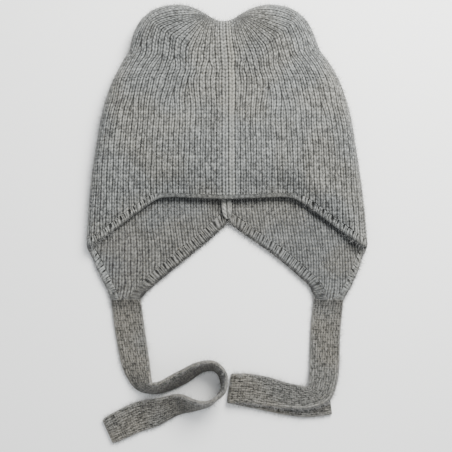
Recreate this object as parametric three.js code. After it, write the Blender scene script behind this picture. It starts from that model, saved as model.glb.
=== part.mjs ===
// A baby's knitted hat with two rounded ears, ear flaps and ties, lying on its back.
// Millimetres. X runs across the hat, Y from the ties up to the ears, Z up from the floor.
import * as THREE from 'three';

// Driving sizes of the hat
const rimWidth = 190;
const hatHeight = 162.6;
const frontRise = 34.2;
const backRise = 17;
const flapReach = 35.5;
const dipDepth = 10.4;
const seamDrop = 7;
const seamHalf = 9.4;
const crownLean = 2.4;
const rimLeanShare = 0.3;
const backSwing = 4.3;
const bodyThickness = 17;
const wall = 2.8;
const earSpacing = 62.8;

// Ribs, edge bands, the seam inside the back and the ties
const ribDepth = 0.9;
const frontBandWidth = 5;
const backBandWidth = 7.5;
const bandThickness = 3.2;
const bandLift = 0.3;
const seamWidth = 7;
const seamHeight = 2.4;
const seamLength = 50;
const seamOverlap = 7;
const tieWidth = 20.3;
const tieThickness = 2.6;
const tieRibDepth = 0.5;
const selvedgeThinning = 0.22;
const leftTieDrop = 56.7;
const rightTieDrop = 57.4;
const clearance = 0.3;
const bandGap = 0.5;

// How finely the faceted solids are cut
const ribsPerQuarter = 26;
const tieRibs = 5;
const shoulderShare = 0.694;
const lowerRows = [0, 0.2, 0.45, 0.72, 1];
const earRows = [0.1, 0.22, 0.34, 0.44, 0.5, 0.57, 0.66, 0.76, 0.86, 0.94, 1];
const innerColumns = 13;
const innerHemColumns = 52;
const innerEarRows = [0.16, 0.34, 0.5, 0.64, 0.78, 0.9, 1];
const smallestStep = 0.45;
const frontBandSteps = 100;
const backBandSteps = 36;
const bandEndReach = 2.5;
const centreBlend = 0.08;
const bandLiftReach = 0.3;
const evenSteps = 8;
const tieStepsPerRow = 2;
const headingStep = 0.05;

// The side of the hat from the rim corner over the ear to the dip between the ears.
// out is a share of half the rim's width, up a share of the hat's height.
const sideOutline = [
  { out: 1.0, up: 0.0 },
  { out: 0.973, up: 0.2 },
  { out: 0.924, up: 0.405 },
  { out: 0.869, up: 0.575 },
  { out: 0.795, up: 0.697 },
  { out: 0.715, up: 0.779 },
  { out: 0.675, up: 0.812 },
  { out: 0.657, up: 0.843 },
  { out: 0.639, up: 0.876 },
  { out: 0.614, up: 0.909 },
  { out: 0.573, up: 0.945 },
  { out: 0.48, up: 0.984 },
  { out: 0.326, up: 1.0 },
  { out: 0.205, up: 0.988 },
];

// How thick the hat lies, as shares of its body thickness. up is a share of the hat's height,
// middle and lobe are the height at the centre line and over an ear, fold the height of the
// side fold, over and under the reach of its rounding above and below.
const thicknessRows = [
  { up: -0.25, middle: 0.66, lobe: 0.66, fold: 0.28, over: 0.46, under: 0.3 },
  { up: 0.0, middle: 0.66, lobe: 0.66, fold: 0.29, over: 0.46, under: 0.3 },
  { up: 0.2, middle: 0.71, lobe: 0.71, fold: 0.32, over: 0.5, under: 0.34 },
  { up: 0.45, middle: 0.97, lobe: 0.97, fold: 0.36, over: 0.56, under: 0.38 },
  { up: 0.7, middle: 1.03, lobe: 1.06, fold: 0.43, over: 0.66, under: 0.44 },
  { up: 0.86, middle: 0.98, lobe: 1.28, fold: 0.52, over: 0.82, under: 0.54 },
  { up: 1.0, middle: 0.85, lobe: 1.3, fold: 0.56, over: 0.86, under: 0.58 },
];
const sideCamber = 0.22;
const lobeWidth = 0.6;
const foldShare = 0.14;

// The lower edge of the front and of the outer sides of the flaps. round goes from the back
// centre at 0 over the side fold at 1 to the front centre at 2, rise is a share of the front's
// rise, or of the flap's reach below the corners.
const outerHem = [
  { round: 0.807, rise: -1.0 },
  { round: 0.83, rise: -0.87 },
  { round: 0.865, rise: -0.68 },
  { round: 0.9, rise: -0.47 },
  { round: 0.935, rise: -0.25 },
  { round: 0.97, rise: -0.09 },
  { round: 1.0, rise: 0.0 },
  { round: 1.06, rise: 0.06 },
  { round: 1.14, rise: 0.2 },
  { round: 1.28, rise: 0.505 },
  { round: 1.425, rise: 0.81 },
  { round: 1.515, rise: 0.97 },
  { round: 1.58, rise: 1.0 },
  { round: 1.76, rise: 0.99 },
  { round: 2.0, rise: 0.965 },
];

// The V-shaped lower edge of the back, drop is a share of the way from its top to the flap's end.
const backHem = [
  { round: 0.0, drop: 0.0 },
  { round: 0.15, drop: 0.222 },
  { round: 0.31, drop: 0.45 },
  { round: 0.47, drop: 0.7 },
  { round: 0.56, drop: 0.86 },
  { round: 0.609, drop: 1.0 },
];

// Ribs of each quarter, counted from the centre line, that end at the shoulder and in the ears
const ribsEndedAtShoulder = [7, 10, 18, 24];
const ribsEndedInEars = [3, 12, 15, 21];
const earRibsEndAt = 0.3;

// Where the lean begins and ends, as shares of the hat's height
const rimLeanTo = 0.35;
const crownLeanFrom = 0.72;
const crownLeanTo = 0.9;

// Where the back swings aside, as shares of the flap's reach below the rim corners
const swingFrom = -0.85;
const swingFull = 0.34;
const swingHeldTo = 0.68;
const swingEnd = 1.07;

// How the ear takes up the cloth: the rib bend, the slack of the ribs and the gather at the dip
const bendShare = 0.5;
const centreCreep = 3.4;
const centrePower = 1.3;
const ribSlack = 6.2;
const gatherPower = 6.6;
const gatherStart = 2.6;
const slackPower = 1.6;
const cupPower = 6;
const ribsFadeFrom = 0.7;

// Each tie from the flap's end: fall is a share of its straight drop, past and across are in
// tie widths beyond the turn and from the flap's middle, face and roll turn the strap in
// degrees, spread is the share of its width that shows and lift the layers that it lies on.
const leftTieRows = [
  { fall: 0.0, past: 0.0, across: 0.0, face: 0, roll: 0, spread: 1, lift: 0 },
  { fall: 0.18, past: 0.0, across: 0.06, face: 2, roll: 0, spread: 1, lift: 0 },
  { fall: 0.46, past: 0.0, across: 0.18, face: 4, roll: 2, spread: 1, lift: 0 },
  { fall: 0.74, past: 0.0, across: 0.33, face: 5, roll: 12, spread: 1, lift: 0 },
  { fall: 0.9, past: 0.0, across: 0.47, face: 9, roll: 30, spread: 1, lift: 0 },
  { fall: 1.0, past: -0.03, across: 0.63, face: 27, roll: 45, spread: 1, lift: 0 },
  { fall: 1.0, past: 0.06, across: 0.85, face: 54, roll: 55, spread: 1, lift: 0 },
  { fall: 1.0, past: 0.02, across: 1.24, face: 84, roll: 58, spread: 1, lift: 0 },
  { fall: 1.0, past: -0.28, across: 1.9, face: 115, roll: 57, spread: 1, lift: 0 },
  { fall: 1.0, past: -0.61, across: 2.48, face: 107, roll: 62, spread: 1, lift: 0 },
  { fall: 1.0, past: -0.67, across: 2.94, face: 88, roll: 64, spread: 1, lift: 0 },
  { fall: 1.0, past: -0.45, across: 3.22, face: 55, roll: 70, spread: 1, lift: 0 },
  { fall: 1.0, past: -0.15, across: 3.29, face: 15, roll: 79, spread: 1, lift: 0 },
  { fall: 1.0, past: 0.2, across: 3.22, face: -35, roll: 92, spread: 1, lift: 0 },
  { fall: 1.0, past: 0.55, across: 2.83, face: -80, roll: 108, spread: 1, lift: 0 },
  { fall: 1.0, past: 0.63, across: 2.4, face: -88, roll: 120, spread: 1, lift: 0 },
  { fall: 1.0, past: 0.64, across: 1.8, face: -94, roll: 145, spread: 1, lift: 0 },
  { fall: 1.0, past: 0.92, across: 1.15, face: -92, roll: 168, spread: 1, lift: 0 },
  { fall: 1.0, past: 1.14, across: 0.37, face: -76, roll: 180, spread: 1, lift: 0 },
  { fall: 1.0, past: 1.5, across: -0.38, face: -67, roll: 180, spread: 0.94, lift: 0 },
  { fall: 1.0, past: 1.61, across: -0.6, face: -66, roll: 180, spread: 0.84, lift: 0 },
];
const rightTieRows = [
  { fall: 0.0, past: 0.0, across: 0.0, face: 0, roll: 0, spread: 1, lift: 0 },
  { fall: 0.18, past: 0.0, across: -0.06, face: -3, roll: 0, spread: 1, lift: 0 },
  { fall: 0.46, past: 0.0, across: -0.13, face: -2, roll: 0, spread: 1, lift: 0 },
  { fall: 0.72, past: 0.0, across: -0.15, face: -2, roll: 0, spread: 1, lift: 0.2 },
  { fall: 0.9, past: 0.0, across: -0.19, face: -6, roll: 0, spread: 0.97, lift: 0.8 },
  { fall: 1.0, past: 0.2, across: -0.31, face: -32, roll: 0, spread: 0.88, lift: 1 },
  { fall: 1.0, past: 0.36, across: -0.58, face: -60, roll: 0, spread: 0.78, lift: 1 },
  { fall: 1.0, past: 0.4, across: -0.9, face: -84, roll: 0, spread: 0.8, lift: 1 },
  { fall: 1.0, past: 0.33, across: -1.5, face: -92, roll: 0, spread: 0.88, lift: 1 },
  { fall: 1.0, past: 0.2, across: -2.1, face: -99, roll: 0, spread: 0.97, lift: 1 },
  { fall: 1.0, past: 0.1, across: -2.78, face: -98, roll: 0, spread: 1, lift: 1 },
  { fall: 1.0, past: 0.1, across: -3.17, face: -98, roll: 0, spread: 1, lift: 1 },
  { fall: 1.0, past: 0.12, across: -3.3, face: -98, roll: 0, spread: 1, lift: 0.5 },
  { fall: 1.0, past: 0.15, across: -3.17, face: -99, roll: 0, spread: 1, lift: 0 },
  { fall: 1.0, past: 0.24, across: -2.78, face: -100, roll: 0, spread: 1, lift: 0 },
  { fall: 1.0, past: 0.38, across: -2.1, face: -101, roll: 0, spread: 1, lift: 0 },
  { fall: 1.0, past: 0.54, across: -1.3, face: -100, roll: 0, spread: 1, lift: 0 },
  { fall: 1.0, past: 0.6, across: -0.65, face: -92, roll: 0, spread: 1, lift: 0 },
  { fall: 1.0, past: 0.5, across: 0.04, face: -83, roll: 0, spread: 1, lift: 0 },
];

// Sizes that follow from the driving ones
const halfRim = rimWidth / 2;
const shoulderY = shoulderShare * hatHeight;
const dipY = hatHeight - dipDepth;
const seamEndY = hatHeight - seamDrop;
const earX = earSpacing / 2;
const quarterLength = halfRim + bodyThickness * foldShare;
const tiltStep = 0.02;
const besideSteps = 240;
const hemOverrun = 0.25;

const yarn = new THREE.MeshStandardMaterial({ color: 0x8d8e8b, roughness: 0.95, metalness: 0 });
const bandYarn = new THREE.MeshStandardMaterial({ color: 0x858681, roughness: 0.95, metalness: 0 });
const tieYarn = new THREE.MeshStandardMaterial({ color: 0x807f7a, roughness: 0.95, metalness: 0 });

function lerp(a, b, share) {
  return a + (b - a) * share;
}

function smooth(from, to, value) {
  const share = Math.min(1, Math.max(0, (value - from) / (to - from)));
  return share * share * (3 - 2 * share);
}

// A column of a table, read at a place between its rows along a smooth curve
function readTable(rows, along, column, place) {
  const last = rows.length - 1;
  let row = 0;
  while (row < last - 1 && rows[row + 1][along] < place) row += 1;
  const slope = (a, b) => (rows[b][column] - rows[a][column]) / (rows[b][along] - rows[a][along]);
  const span = rows[row + 1][along] - rows[row][along];
  const straight = slope(row, row + 1);
  const share = (place - rows[row][along]) / span;
  if (share <= 0) return rows[row][column] + straight * (place - rows[row][along]);
  if (share >= 1) return rows[row + 1][column] + straight * (place - rows[row + 1][along]);
  const before = row > 0 ? (slope(row - 1, row) + straight) / 2 : straight;
  const after = row + 1 < last ? (straight + slope(row + 1, row + 2)) / 2 : straight;
  const s2 = share * share;
  const s3 = s2 * share;
  return (2 * s3 - 3 * s2 + 1) * rows[row][column] + (s3 - 2 * s2 + share) * before * span
    + (3 * s2 - 2 * s3) * rows[row + 1][column] + (s3 - s2) * after * span;
}

// The outline as a fine chain of points with lengths and inward normals
function makeOutline() {
  const points = sideOutline.map((row) => new THREE.Vector3(row.out * halfRim, row.up * hatHeight, 0));
  points.push(new THREE.Vector3(seamHalf, seamEndY, 0));
  const curve = new THREE.CatmullRomCurve3(points, false, 'centripetal');
  const chain = curve.getPoints(240).map((p) => ({ x: p.x, y: p.y }));
  const dipSteps = 8;
  const seamIndex = chain.length - 1;
  for (let i = 1; i <= dipSteps; i += 1) {
    const share = 1 - i / dipSteps;
    chain.push({ x: seamHalf * share, y: dipY + (seamEndY - dipY) * share * share });
  }
  let length = 0;
  chain.forEach((p, i) => {
    const a = chain[Math.max(0, i - 1)];
    const b = chain[Math.min(chain.length - 1, i + 1)];
    const size = Math.hypot(b.x - a.x, b.y - a.y);
    p.nx = -(b.y - a.y) / size;
    p.ny = (b.x - a.x) / size;
    if (i > 0) length += Math.hypot(p.x - a.x, p.y - a.y);
    p.length = length;
  });
  const shoulderIndex = chain.findIndex((p) => p.y >= shoulderY);
  return { chain, shoulderIndex, seamIndex };
}
const outline = makeOutline();

// Where a plan point lies to the outline: its distance and the way out
function nearestEdge(x, y) {
  let best = Infinity;
  let found = outline.chain[0];
  for (const p of outline.chain) {
    const distance = (p.x - x) ** 2 + (p.y - y) ** 2;
    if (distance < best) {
      best = distance;
      found = p;
    }
  }
  const across = (x - found.x) * found.nx + (y - found.y) * found.ny;
  return { distance: Math.max(0, across), outX: -found.nx, outY: -found.ny };
}

// The side of the hat at a height, or in the ears at a share of the way to the dip
function sidePoint(level, inset) {
  const { chain, shoulderIndex, seamIndex } = outline;
  if (level <= 1) {
    const y = Math.max(0, level) * shoulderY;
    let i = 0;
    while (i < shoulderIndex - 1 && chain[i + 1].y < y) i += 1;
    const share = (y - chain[i].y) / (chain[i + 1].y - chain[i].y);
    return { x: lerp(chain[i].x, chain[i + 1].x, share) + inset / chain[i].nx, y: level * shoulderY };
  }
  const from = chain[shoulderIndex].length;
  const target = lerp(from, chain[seamIndex].length, level - 1);
  let i = shoulderIndex;
  while (i < seamIndex - 1 && chain[i + 1].length < target) i += 1;
  const share = (target - chain[i].length) / (chain[i + 1].length - chain[i].length);
  const bend = smooth(1, 1.2, level);
  const nx = lerp(1 / chain[i].nx, chain[i].nx, bend);
  return {
    x: lerp(chain[i].x, chain[i + 1].x, share) + inset * nx,
    y: lerp(chain[i].y, chain[i + 1].y, share) + inset * chain[i].ny * bend,
  };
}

function centreY(level, inset) {
  if (level <= 1) return level * shoulderY;
  const rise = level - 1;
  const bendY = shoulderY + centreCreep;
  if (rise <= bendShare) return shoulderY + centreCreep * rise / bendShare;
  const past = (rise - bendShare) / (1 - bendShare);
  return lerp(bendY, dipY - inset, past ** centrePower);
}

// A point of the hat seen from above: side is 0 on the centre line and 1 on the fold
function planPoint(side, level, inset) {
  const fold = sidePoint(level, inset);
  const middle = centreY(level, inset);
  const past = Math.max(0, (level - 1 - bendShare) / (1 - bendShare));
  const gathered = 1 - (1 - side) ** gatherPower;
  const mix = past ** gatherStart;
  const share = lerp(side, gathered, mix);
  const cup = (fold.y - middle) * (share - share * share) * mix * past ** cupPower;
  const slack = ribSlack * Math.sin(Math.PI * side ** slackPower) * Math.sin(Math.PI * past);
  return { x: fold.x * share, y: lerp(middle, fold.y, share) - slack - cup };
}

// Height over the floor of the upper or under side at a plan point, with the way its face
// points: out away from the middle of the hat, and up
function sheetHeight(x, y, isUpper, inset) {
  const share = y / hatHeight;
  const read = (column) => bodyThickness * readTable(thicknessRows, 'up', column, share);
  const fold = read('fold');
  const edge = nearestEdge(x, Math.max(0, y));
  const distance = Math.max(0, edge.distance - inset);
  const reach = Math.max(1, (isUpper ? read('over') : read('under')) - inset);
  const gone = Math.max(0, 1 - distance / reach);
  const flat = Math.sqrt(1 - gone * gone);
  const lobe = Math.exp(-(((x - earX) / (earX * lobeWidth)) ** 2));
  const top = lerp(read('middle'), read('lobe'), lobe);
  const camber = 1 - sideCamber * (x / halfRim) ** 2;
  const tall = isUpper ? (top - fold) * camber - inset : fold - inset;
  const size = Math.hypot(gone / reach, flat / tall);
  return {
    z: isUpper ? fold + tall * flat : fold - tall * flat,
    out: gone / reach / size,
    up: (isUpper ? flat : -flat) / tall / size,
    edge,
  };
}

// Even spacing of the ribs: how far across a quarter each share of its cloth lies
const spacingRows = 28;
const spacingColumns = 32;
const frozenLevel = 1.36;
const spacingCache = new Map();
function spacingAt(row, isUpper, inset) {
  const key = `${row}/${isUpper}/${inset.toFixed(2)}`;
  if (spacingCache.has(key)) return spacingCache.get(key);
  const level = frozenLevel * row / spacingRows;
  const sides = [];
  const lengths = [0];
  let before;
  for (let i = 0; i <= spacingColumns; i += 1) {
    const side = 1 - (1 - i / spacingColumns) ** 2;
    const plan = planPoint(side, level, inset);
    const { z } = sheetHeight(plan.x, plan.y, isUpper, inset);
    if (i > 0) lengths.push(lengths[i - 1] + Math.hypot(plan.x - before.x, plan.y - before.y, z - before.z));
    sides.push(side);
    before = { x: plan.x, y: plan.y, z };
  }
  const total = lengths[spacingColumns];
  const spacing = { sides, shares: lengths.map((value) => value / total) };
  spacingCache.set(key, spacing);
  return spacing;
}

function sideInRow(spacing, share) {
  let i = 0;
  while (i < spacingColumns - 1 && spacing.shares[i + 1] < share) i += 1;
  const part = (share - spacing.shares[i]) / (spacing.shares[i + 1] - spacing.shares[i]);
  return lerp(spacing.sides[i], spacing.sides[i + 1], part);
}

function sideAt(share, level, isUpper, inset) {
  const place = Math.min(1, Math.max(0, level / frozenLevel)) * spacingRows;
  const row = Math.min(spacingRows - 1, Math.floor(place));
  const read = (upper) => lerp(
    sideInRow(spacingAt(row, upper, inset), share),
    sideInRow(spacingAt(row + 1, upper, inset), share),
    place - row,
  );
  const own = read(isUpper);
  const common = (own + read(!isUpper)) / 2;
  return Math.min(1, lerp(own, common, smooth(1, frozenLevel, level)));
}

// The hat leans a little to the left, mostly above the shoulders
function leanAt(y) {
  const share = y / hatHeight;
  const crown = smooth(crownLeanFrom, crownLeanTo, share);
  return -crownLean * lerp(crown, smooth(0, rimLeanTo, share), rimLeanShare);
}

// The free lower part of the back lies a little to the right between its two side folds
function swingAt(x, y) {
  const below = -y / flapReach;
  const share = smooth(swingFrom, swingFull, below) * smooth(swingEnd, swingHeldTo, below);
  return backSwing * share * Math.max(0, 1 - (x / halfRim) ** 2);
}

// A point in the wall of the hat. round goes from the back centre (0) over the left fold (1),
// the front centre (2) and the right fold (3) to the back centre (4), level is 0 at the rim
// corners, 1 at the shoulder and 2 at the dip, inset is the depth under the outer face and
// lift raises a rib.
function shellPoint(round, level, inset, lift) {
  const turn = ((round % 4) + 4) % 4;
  const mirror = turn <= 2 ? -1 : 1;
  const half = turn <= 2 ? turn : 4 - turn;
  const isUpper = half > 1;
  const share = isUpper ? 2 - half : half;
  const depth = level <= 1 ? 0 : inset;
  const side = sideAt(share, level, isUpper, depth);
  const plan = planPoint(side, level, depth);
  const sheet = sheetHeight(plan.x, plan.y, isUpper, depth);
  const pressed = isUpper || lift === 0 ? 0 : -sheet.up * ribDepth / 2;
  const raise = lift - pressed - (inset - depth);
  const lean = leanAt(plan.y) + (isUpper ? 0 : swingAt(plan.x, plan.y));
  return new THREE.Vector3(
    mirror * (plan.x + raise * sheet.out * sheet.edge.outX) + lean,
    plan.y + raise * sheet.out * sheet.edge.outY,
    Math.max(0, sheet.z + raise * sheet.up),
  );
}

function outerHemY(half) {
  const rise = readTable(outerHem, 'round', 'rise', half);
  return rise > 0 ? rise * frontRise : rise * flapReach;
}

function backHemY(half) {
  return backRise - readTable(backHem, 'round', 'drop', half) * (backRise + flapReach);
}

// A line that keeps a width from a hem, square to it, as a chain of places and heights.
// away is 1 where the cloth lies on the side of growing places and -1 on the other.
function lineBeside(edge, from, to, width, away) {
  const chain = [];
  for (let i = 0; i <= besideSteps; i += 1) {
    const half = lerp(from, to, i / besideSteps);
    const slope = (edge(half + tiltStep) - edge(half - tiltStep)) / (2 * tiltStep * quarterLength);
    const size = Math.hypot(1, slope);
    chain.push({
      half: half + away * width * Math.abs(slope) / size / quarterLength,
      y: edge(half) + width / size,
    });
  }
  return chain;
}

function readLine(chain, half) {
  let i = 0;
  while (i < chain.length - 2 && chain[i + 1].half < half) i += 1;
  return lerp(chain[i].y, chain[i + 1].y, (half - chain[i].half) / (chain[i + 1].half - chain[i].half));
}

function besideOuterHem(width) {
  return lineBeside(outerHemY, outerHem[0].round - hemOverrun, 2, width, -1);
}

function besideBackHem(width) {
  return lineBeside(backHemY, -hemOverrun, backHem[backHem.length - 1].round + hemOverrun, width, 1);
}

const bodyOuterLine = besideOuterHem(frontBandWidth + bandGap);
const bodyBackLine = besideBackHem(backBandWidth + bandGap);
function bodyHemY(round) {
  const turn = ((round % 4) + 4) % 4;
  const half = turn <= 2 ? turn : 4 - turn;
  const outerEdge = readLine(bodyOuterLine, half);
  if (half >= 1) return outerEdge;
  return Math.max(outerEdge, readLine(bodyBackLine, half), -flapReach);
}

// The columns of one ring of ribs: a groove and a crest for each rib that is still there
function ringColumns(level) {
  const ended = new Set();
  if (level > 1) ribsEndedAtShoulder.forEach((rib) => ended.add(rib));
  if (level > 1 + earRibsEndAt) ribsEndedInEars.forEach((rib) => ended.add(rib));
  const live = ribsPerQuarter - ended.size;
  const quarter = [];
  for (let rib = 0; rib < live; rib += 1) {
    quarter.push({ share: rib / live, lift: rib === 0 ? 0.5 : -0.5 });
    quarter.push({ share: (rib + 0.5) / live, lift: 0.5 });
  }
  const ring = [];
  for (let turn = 0; turn < 4; turn += 1) {
    const rising = turn % 2 === 0;
    const columns = rising ? quarter : [{ share: 1, lift: -0.5 }, ...quarter.slice(1).reverse()];
    columns.forEach(({ share, lift }) => ring.push({ round: rising ? turn + share : turn + 1 - share, lift }));
  }
  return ring;
}

function plainColumns(perQuarter) {
  const ring = [];
  for (let i = 0; i < perQuarter * 4; i += 1) ring.push({ round: i / perQuarter, lift: 0 });
  return ring;
}

// Gathers rings of points into one closed mesh
class MeshBuilder {
  constructor() {
    this.positions = [];
    this.faces = [];
  }

  point(p) {
    this.positions.push(p.x, p.y, p.z);
    return this.positions.length / 3 - 1;
  }

  triangle(a, b, c, flip) {
    if (a === b || b === c || a === c) return;
    this.faces.push(...(flip ? [a, c, b] : [a, b, c]));
  }

  // Joins two closed rings whose points need not match, walking both by their places round
  stitch(lower, upper, flip) {
    const next = (ring, i) => ring[(i + 1) % ring.length];
    const placeAfter = (ring, i) => (i + 1 < ring.length ? ring[i + 1].round : ring[0].round + 4);
    let i = 0;
    let j = 0;
    while (i < lower.length || j < upper.length) {
      const a = lower[i % lower.length].index;
      const b = upper[j % upper.length].index;
      const takeLower = j >= upper.length || (i < lower.length && placeAfter(lower, i) <= placeAfter(upper, j));
      if (takeLower) {
        this.triangle(a, next(lower, i % lower.length).index, b, flip);
        i += 1;
      } else {
        this.triangle(a, next(upper, j % upper.length).index, b, flip);
        j += 1;
      }
    }
  }

  geometry() {
    const geometry = new THREE.BufferGeometry();
    geometry.setAttribute('position', new THREE.Float32BufferAttribute(this.positions, 3));
    geometry.setIndex(this.faces);
    geometry.computeVertexNormals();
    return geometry;
  }
}

// The last ring folds flat on the top seam, so its front and back share their points
function closingRing(builder, columns, inset) {
  const quarter = [];
  columns.filter(({ round }) => round >= 1 && round <= 2).forEach(({ round }) => {
    const p = shellPoint(round, 2, inset, 0);
    const last = quarter[quarter.length - 1];
    if (!last || round === 2 || Math.hypot(p.x - last.p.x, p.y - last.p.y) > smallestStep) quarter.push({ round, p });
  });
  const ring = [];
  const left = quarter.map(({ round, p }) => ({ round, index: builder.point(p) }));
  const right = quarter.slice(0, -1).map(({ round, p }) => {
    const mirrored = shellPoint(4 - round, 2, inset, 0);
    mirrored.z = p.z;
    return { round: 4 - round, index: builder.point(mirrored) };
  });
  left.slice().reverse().forEach(({ round, index }) => ring.push({ round: 2 - round, index }));
  left.slice(1).forEach(({ round, index }) => ring.push({ round, index }));
  right.slice().reverse().forEach(({ round, index }) => ring.push({ round, index }));
  right.slice(1).forEach(({ round, index }) => ring.push({ round: 6 - round, index }));
  return ring;
}

// Leaves out columns that would lie closer together than the smallest step
function thinRing(points) {
  const kept = [];
  points.forEach((column) => {
    const last = kept[kept.length - 1];
    const isKey = Number.isInteger(column.round);
    if (isKey && last && !Number.isInteger(last.round) && last.p.distanceTo(column.p) < smallestStep) kept.pop();
    if (isKey || !last || last.p.distanceTo(column.p) >= smallestStep) kept.push(column);
  });
  return kept;
}

function shellRings(builder, columnsAt, rowsBelow, rowsAbove, inset) {
  const rings = [];
  rowsBelow.forEach((share) => {
    rings.push(columnsAt(share).map(({ round, lift }) => {
      const level = lerp(bodyHemY(round) / shoulderY, 1, share);
      return { round, index: builder.point(shellPoint(round, level, inset, lift * ribDepth)) };
    }));
  });
  rowsAbove.forEach((rise) => {
    const level = 1 + rise;
    if (rise === 1) {
      rings.push(closingRing(builder, columnsAt(level), inset));
      return;
    }
    const fade = 1 - smooth(ribsFadeFrom, 1, rise);
    const points = columnsAt(level).map(({ round, lift }) => ({
      round,
      p: shellPoint(round, level, inset, lift * ribDepth * fade),
    }));
    rings.push(thinRing(points).map(({ round, p }) => ({ round, index: builder.point(p) })));
  });
  return rings;
}

function knitBody() {
  const builder = new MeshBuilder();
  const outer = shellRings(builder, ringColumns, lowerRows, earRows, 0);
  const plain = (level) => plainColumns(level === 0 ? innerHemColumns : innerColumns);
  const inner = shellRings(builder, plain, lowerRows, innerEarRows, wall);
  for (let i = 0; i + 1 < outer.length; i += 1) builder.stitch(outer[i], outer[i + 1], false);
  for (let i = 0; i + 1 < inner.length; i += 1) builder.stitch(inner[i], inner[i + 1], true);
  builder.stitch(outer[0], inner[0], true);
  return builder.geometry();
}

// Joins a row of equal sections into a closed solid with flat ends
function loftSections(sections) {
  const builder = new MeshBuilder();
  const size = sections[0].length;
  const indexed = sections.map((section) => section.map((p) => builder.point(p)));
  for (let i = 0; i + 1 < indexed.length; i += 1) {
    for (let j = 0; j < size; j += 1) {
      const k = (j + 1) % size;
      builder.triangle(indexed[i][j], indexed[i + 1][j], indexed[i + 1][k]);
      builder.triangle(indexed[i][j], indexed[i + 1][k], indexed[i][k]);
    }
  }
  const first = indexed[0];
  const last = indexed[indexed.length - 1];
  for (let j = 0; j < size / 2 - 1; j += 1) {
    builder.triangle(first[j], first[j + 1], first[size - 1 - j]);
    builder.triangle(first[j + 1], first[size - 2 - j], first[size - 1 - j]);
    builder.triangle(last[j], last[size - 1 - j], last[j + 1]);
    builder.triangle(last[j + 1], last[size - 1 - j], last[size - 2 - j]);
  }
  return builder.geometry();
}

// The rounded section of an edge band: reach from the hem to the body, depth from the outer
// face to the inner one
const bandSection = [
  { reach: 0.0, depth: 0.2 },
  { reach: 0.25, depth: 0.0 },
  { reach: 1.0, depth: 0.06 },
  { reach: 1.0, depth: 0.94 },
  { reach: 0.25, depth: 1.0 },
  { reach: 0.0, depth: 0.8 },
];

// Where a line beside the hem comes down to the flap's end
function meetFlapEnd(chain) {
  const i = chain.findIndex((p, k) => k > 0 && (p.y + flapReach) * (chain[k - 1].y + flapReach) <= 0);
  const part = (-flapReach - chain[i - 1].y) / (chain[i].y - chain[i - 1].y);
  return lerp(chain[i - 1].half, chain[i].half, part);
}

// The sections of an edge band, each square to the hem except where it meets the flap's end
// and where its two halves meet on the centre line
function edgeBand(edge, line, width, away, rounds, endHalf, centreHalf) {
  const farEnd = meetFlapEnd(line);
  return rounds.map((round) => {
    const turn = ((round % 4) + 4) % 4;
    const half = turn <= 2 ? turn : 4 - turn;
    const slope = (edge(half + tiltStep) - edge(half - tiltStep)) / (2 * tiltStep * quarterLength);
    const shift = away * width * Math.abs(slope) / Math.hypot(1, slope) / quarterLength;
    const fromCentre = smooth(0, centreBlend, Math.abs(half - centreHalf));
    const nearEnd = Math.max(0, 1 - Math.abs(half - endHalf) * quarterLength / (bandEndReach * width));
    const farHalf = half + lerp(shift * fromCentre, farEnd - endHalf, nearEnd * nearEnd);
    const front = smooth(1, 1 + bandLiftReach, half);
    return bandSection.map(({ reach, depth }) => {
      const place = lerp(half, farHalf, reach);
      const y = Math.max(-flapReach, lerp(edge(half), readLine(line, farHalf), reach));
      const inset = lerp(-bandLift * front, bandThickness - bandLift * front, depth);
      return shellPoint(turn <= 2 ? place : 4 - place, y / shoulderY, inset, 0);
    });
  });
}

function spread(from, to, steps) {
  return Array.from({ length: steps + 1 }, (unused, i) => lerp(from, to, i / steps));
}

// Places round the rim that lie evenly along a hem, however steep it is
function evenAlong(edge, from, to, steps) {
  const fine = spread(from, to, steps * evenSteps);
  const lengths = [0];
  const height = (round) => {
    const turn = ((round % 4) + 4) % 4;
    return edge(turn <= 2 ? turn : 4 - turn);
  };
  for (let i = 1; i < fine.length; i += 1) {
    const along = (fine[i] - fine[i - 1]) * quarterLength;
    lengths.push(lengths[i - 1] + Math.hypot(along, height(fine[i]) - height(fine[i - 1])));
  }
  const total = lengths[lengths.length - 1];
  let i = 0;
  return spread(0, total, steps).map((target) => {
    while (i < fine.length - 2 && lengths[i + 1] < target) i += 1;
    return lerp(fine[i], fine[i + 1], (target - lengths[i]) / (lengths[i + 1] - lengths[i]));
  });
}

function frontBand() {
  const end = outerHem[0].round;
  const rounds = evenAlong(outerHemY, end, 4 - end, frontBandSteps);
  const line = besideOuterHem(frontBandWidth);
  return loftSections(edgeBand(outerHemY, line, frontBandWidth, -1, rounds, end, 2));
}

function backBand() {
  const end = backHem[backHem.length - 1].round;
  const rounds = evenAlong(backHemY, -end, end, backBandSteps);
  const line = besideBackHem(backBandWidth);
  return loftSections(edgeBand(backHemY, line, backBandWidth, 1, rounds, end, 0));
}

// The seam from the hem up, as shares of its length, width and height
const seamRows = [
  { along: 0.0, wide: 0.5, high: 0.5 },
  { along: 0.04, wide: 0.85, high: 0.85 },
  { along: 0.1, wide: 1.0, high: 1.0 },
  { along: 0.3, wide: 1.0, high: 0.95 },
  { along: 0.45, wide: 0.95, high: 0.6 },
  { along: 0.7, wide: 0.95, high: 0.5 },
  { along: 1.0, wide: 0.9, high: 0.2 },
];
const seamSteps = 12;

// Half-round section of the seam, over its top and back along its flat foot
const seamSection = [
  { across: 1, up: 0.2 },
  { across: 0.55, up: 0.88 },
  { across: 0, up: 1 },
  { across: -0.55, up: 0.88 },
  { across: -1, up: 0.2 },
  { across: -1, up: 0 },
  { across: -0.55, up: 0 },
  { across: 0, up: 0 },
  { across: 0.55, up: 0 },
  { across: 1, up: 0 },
];

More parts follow.
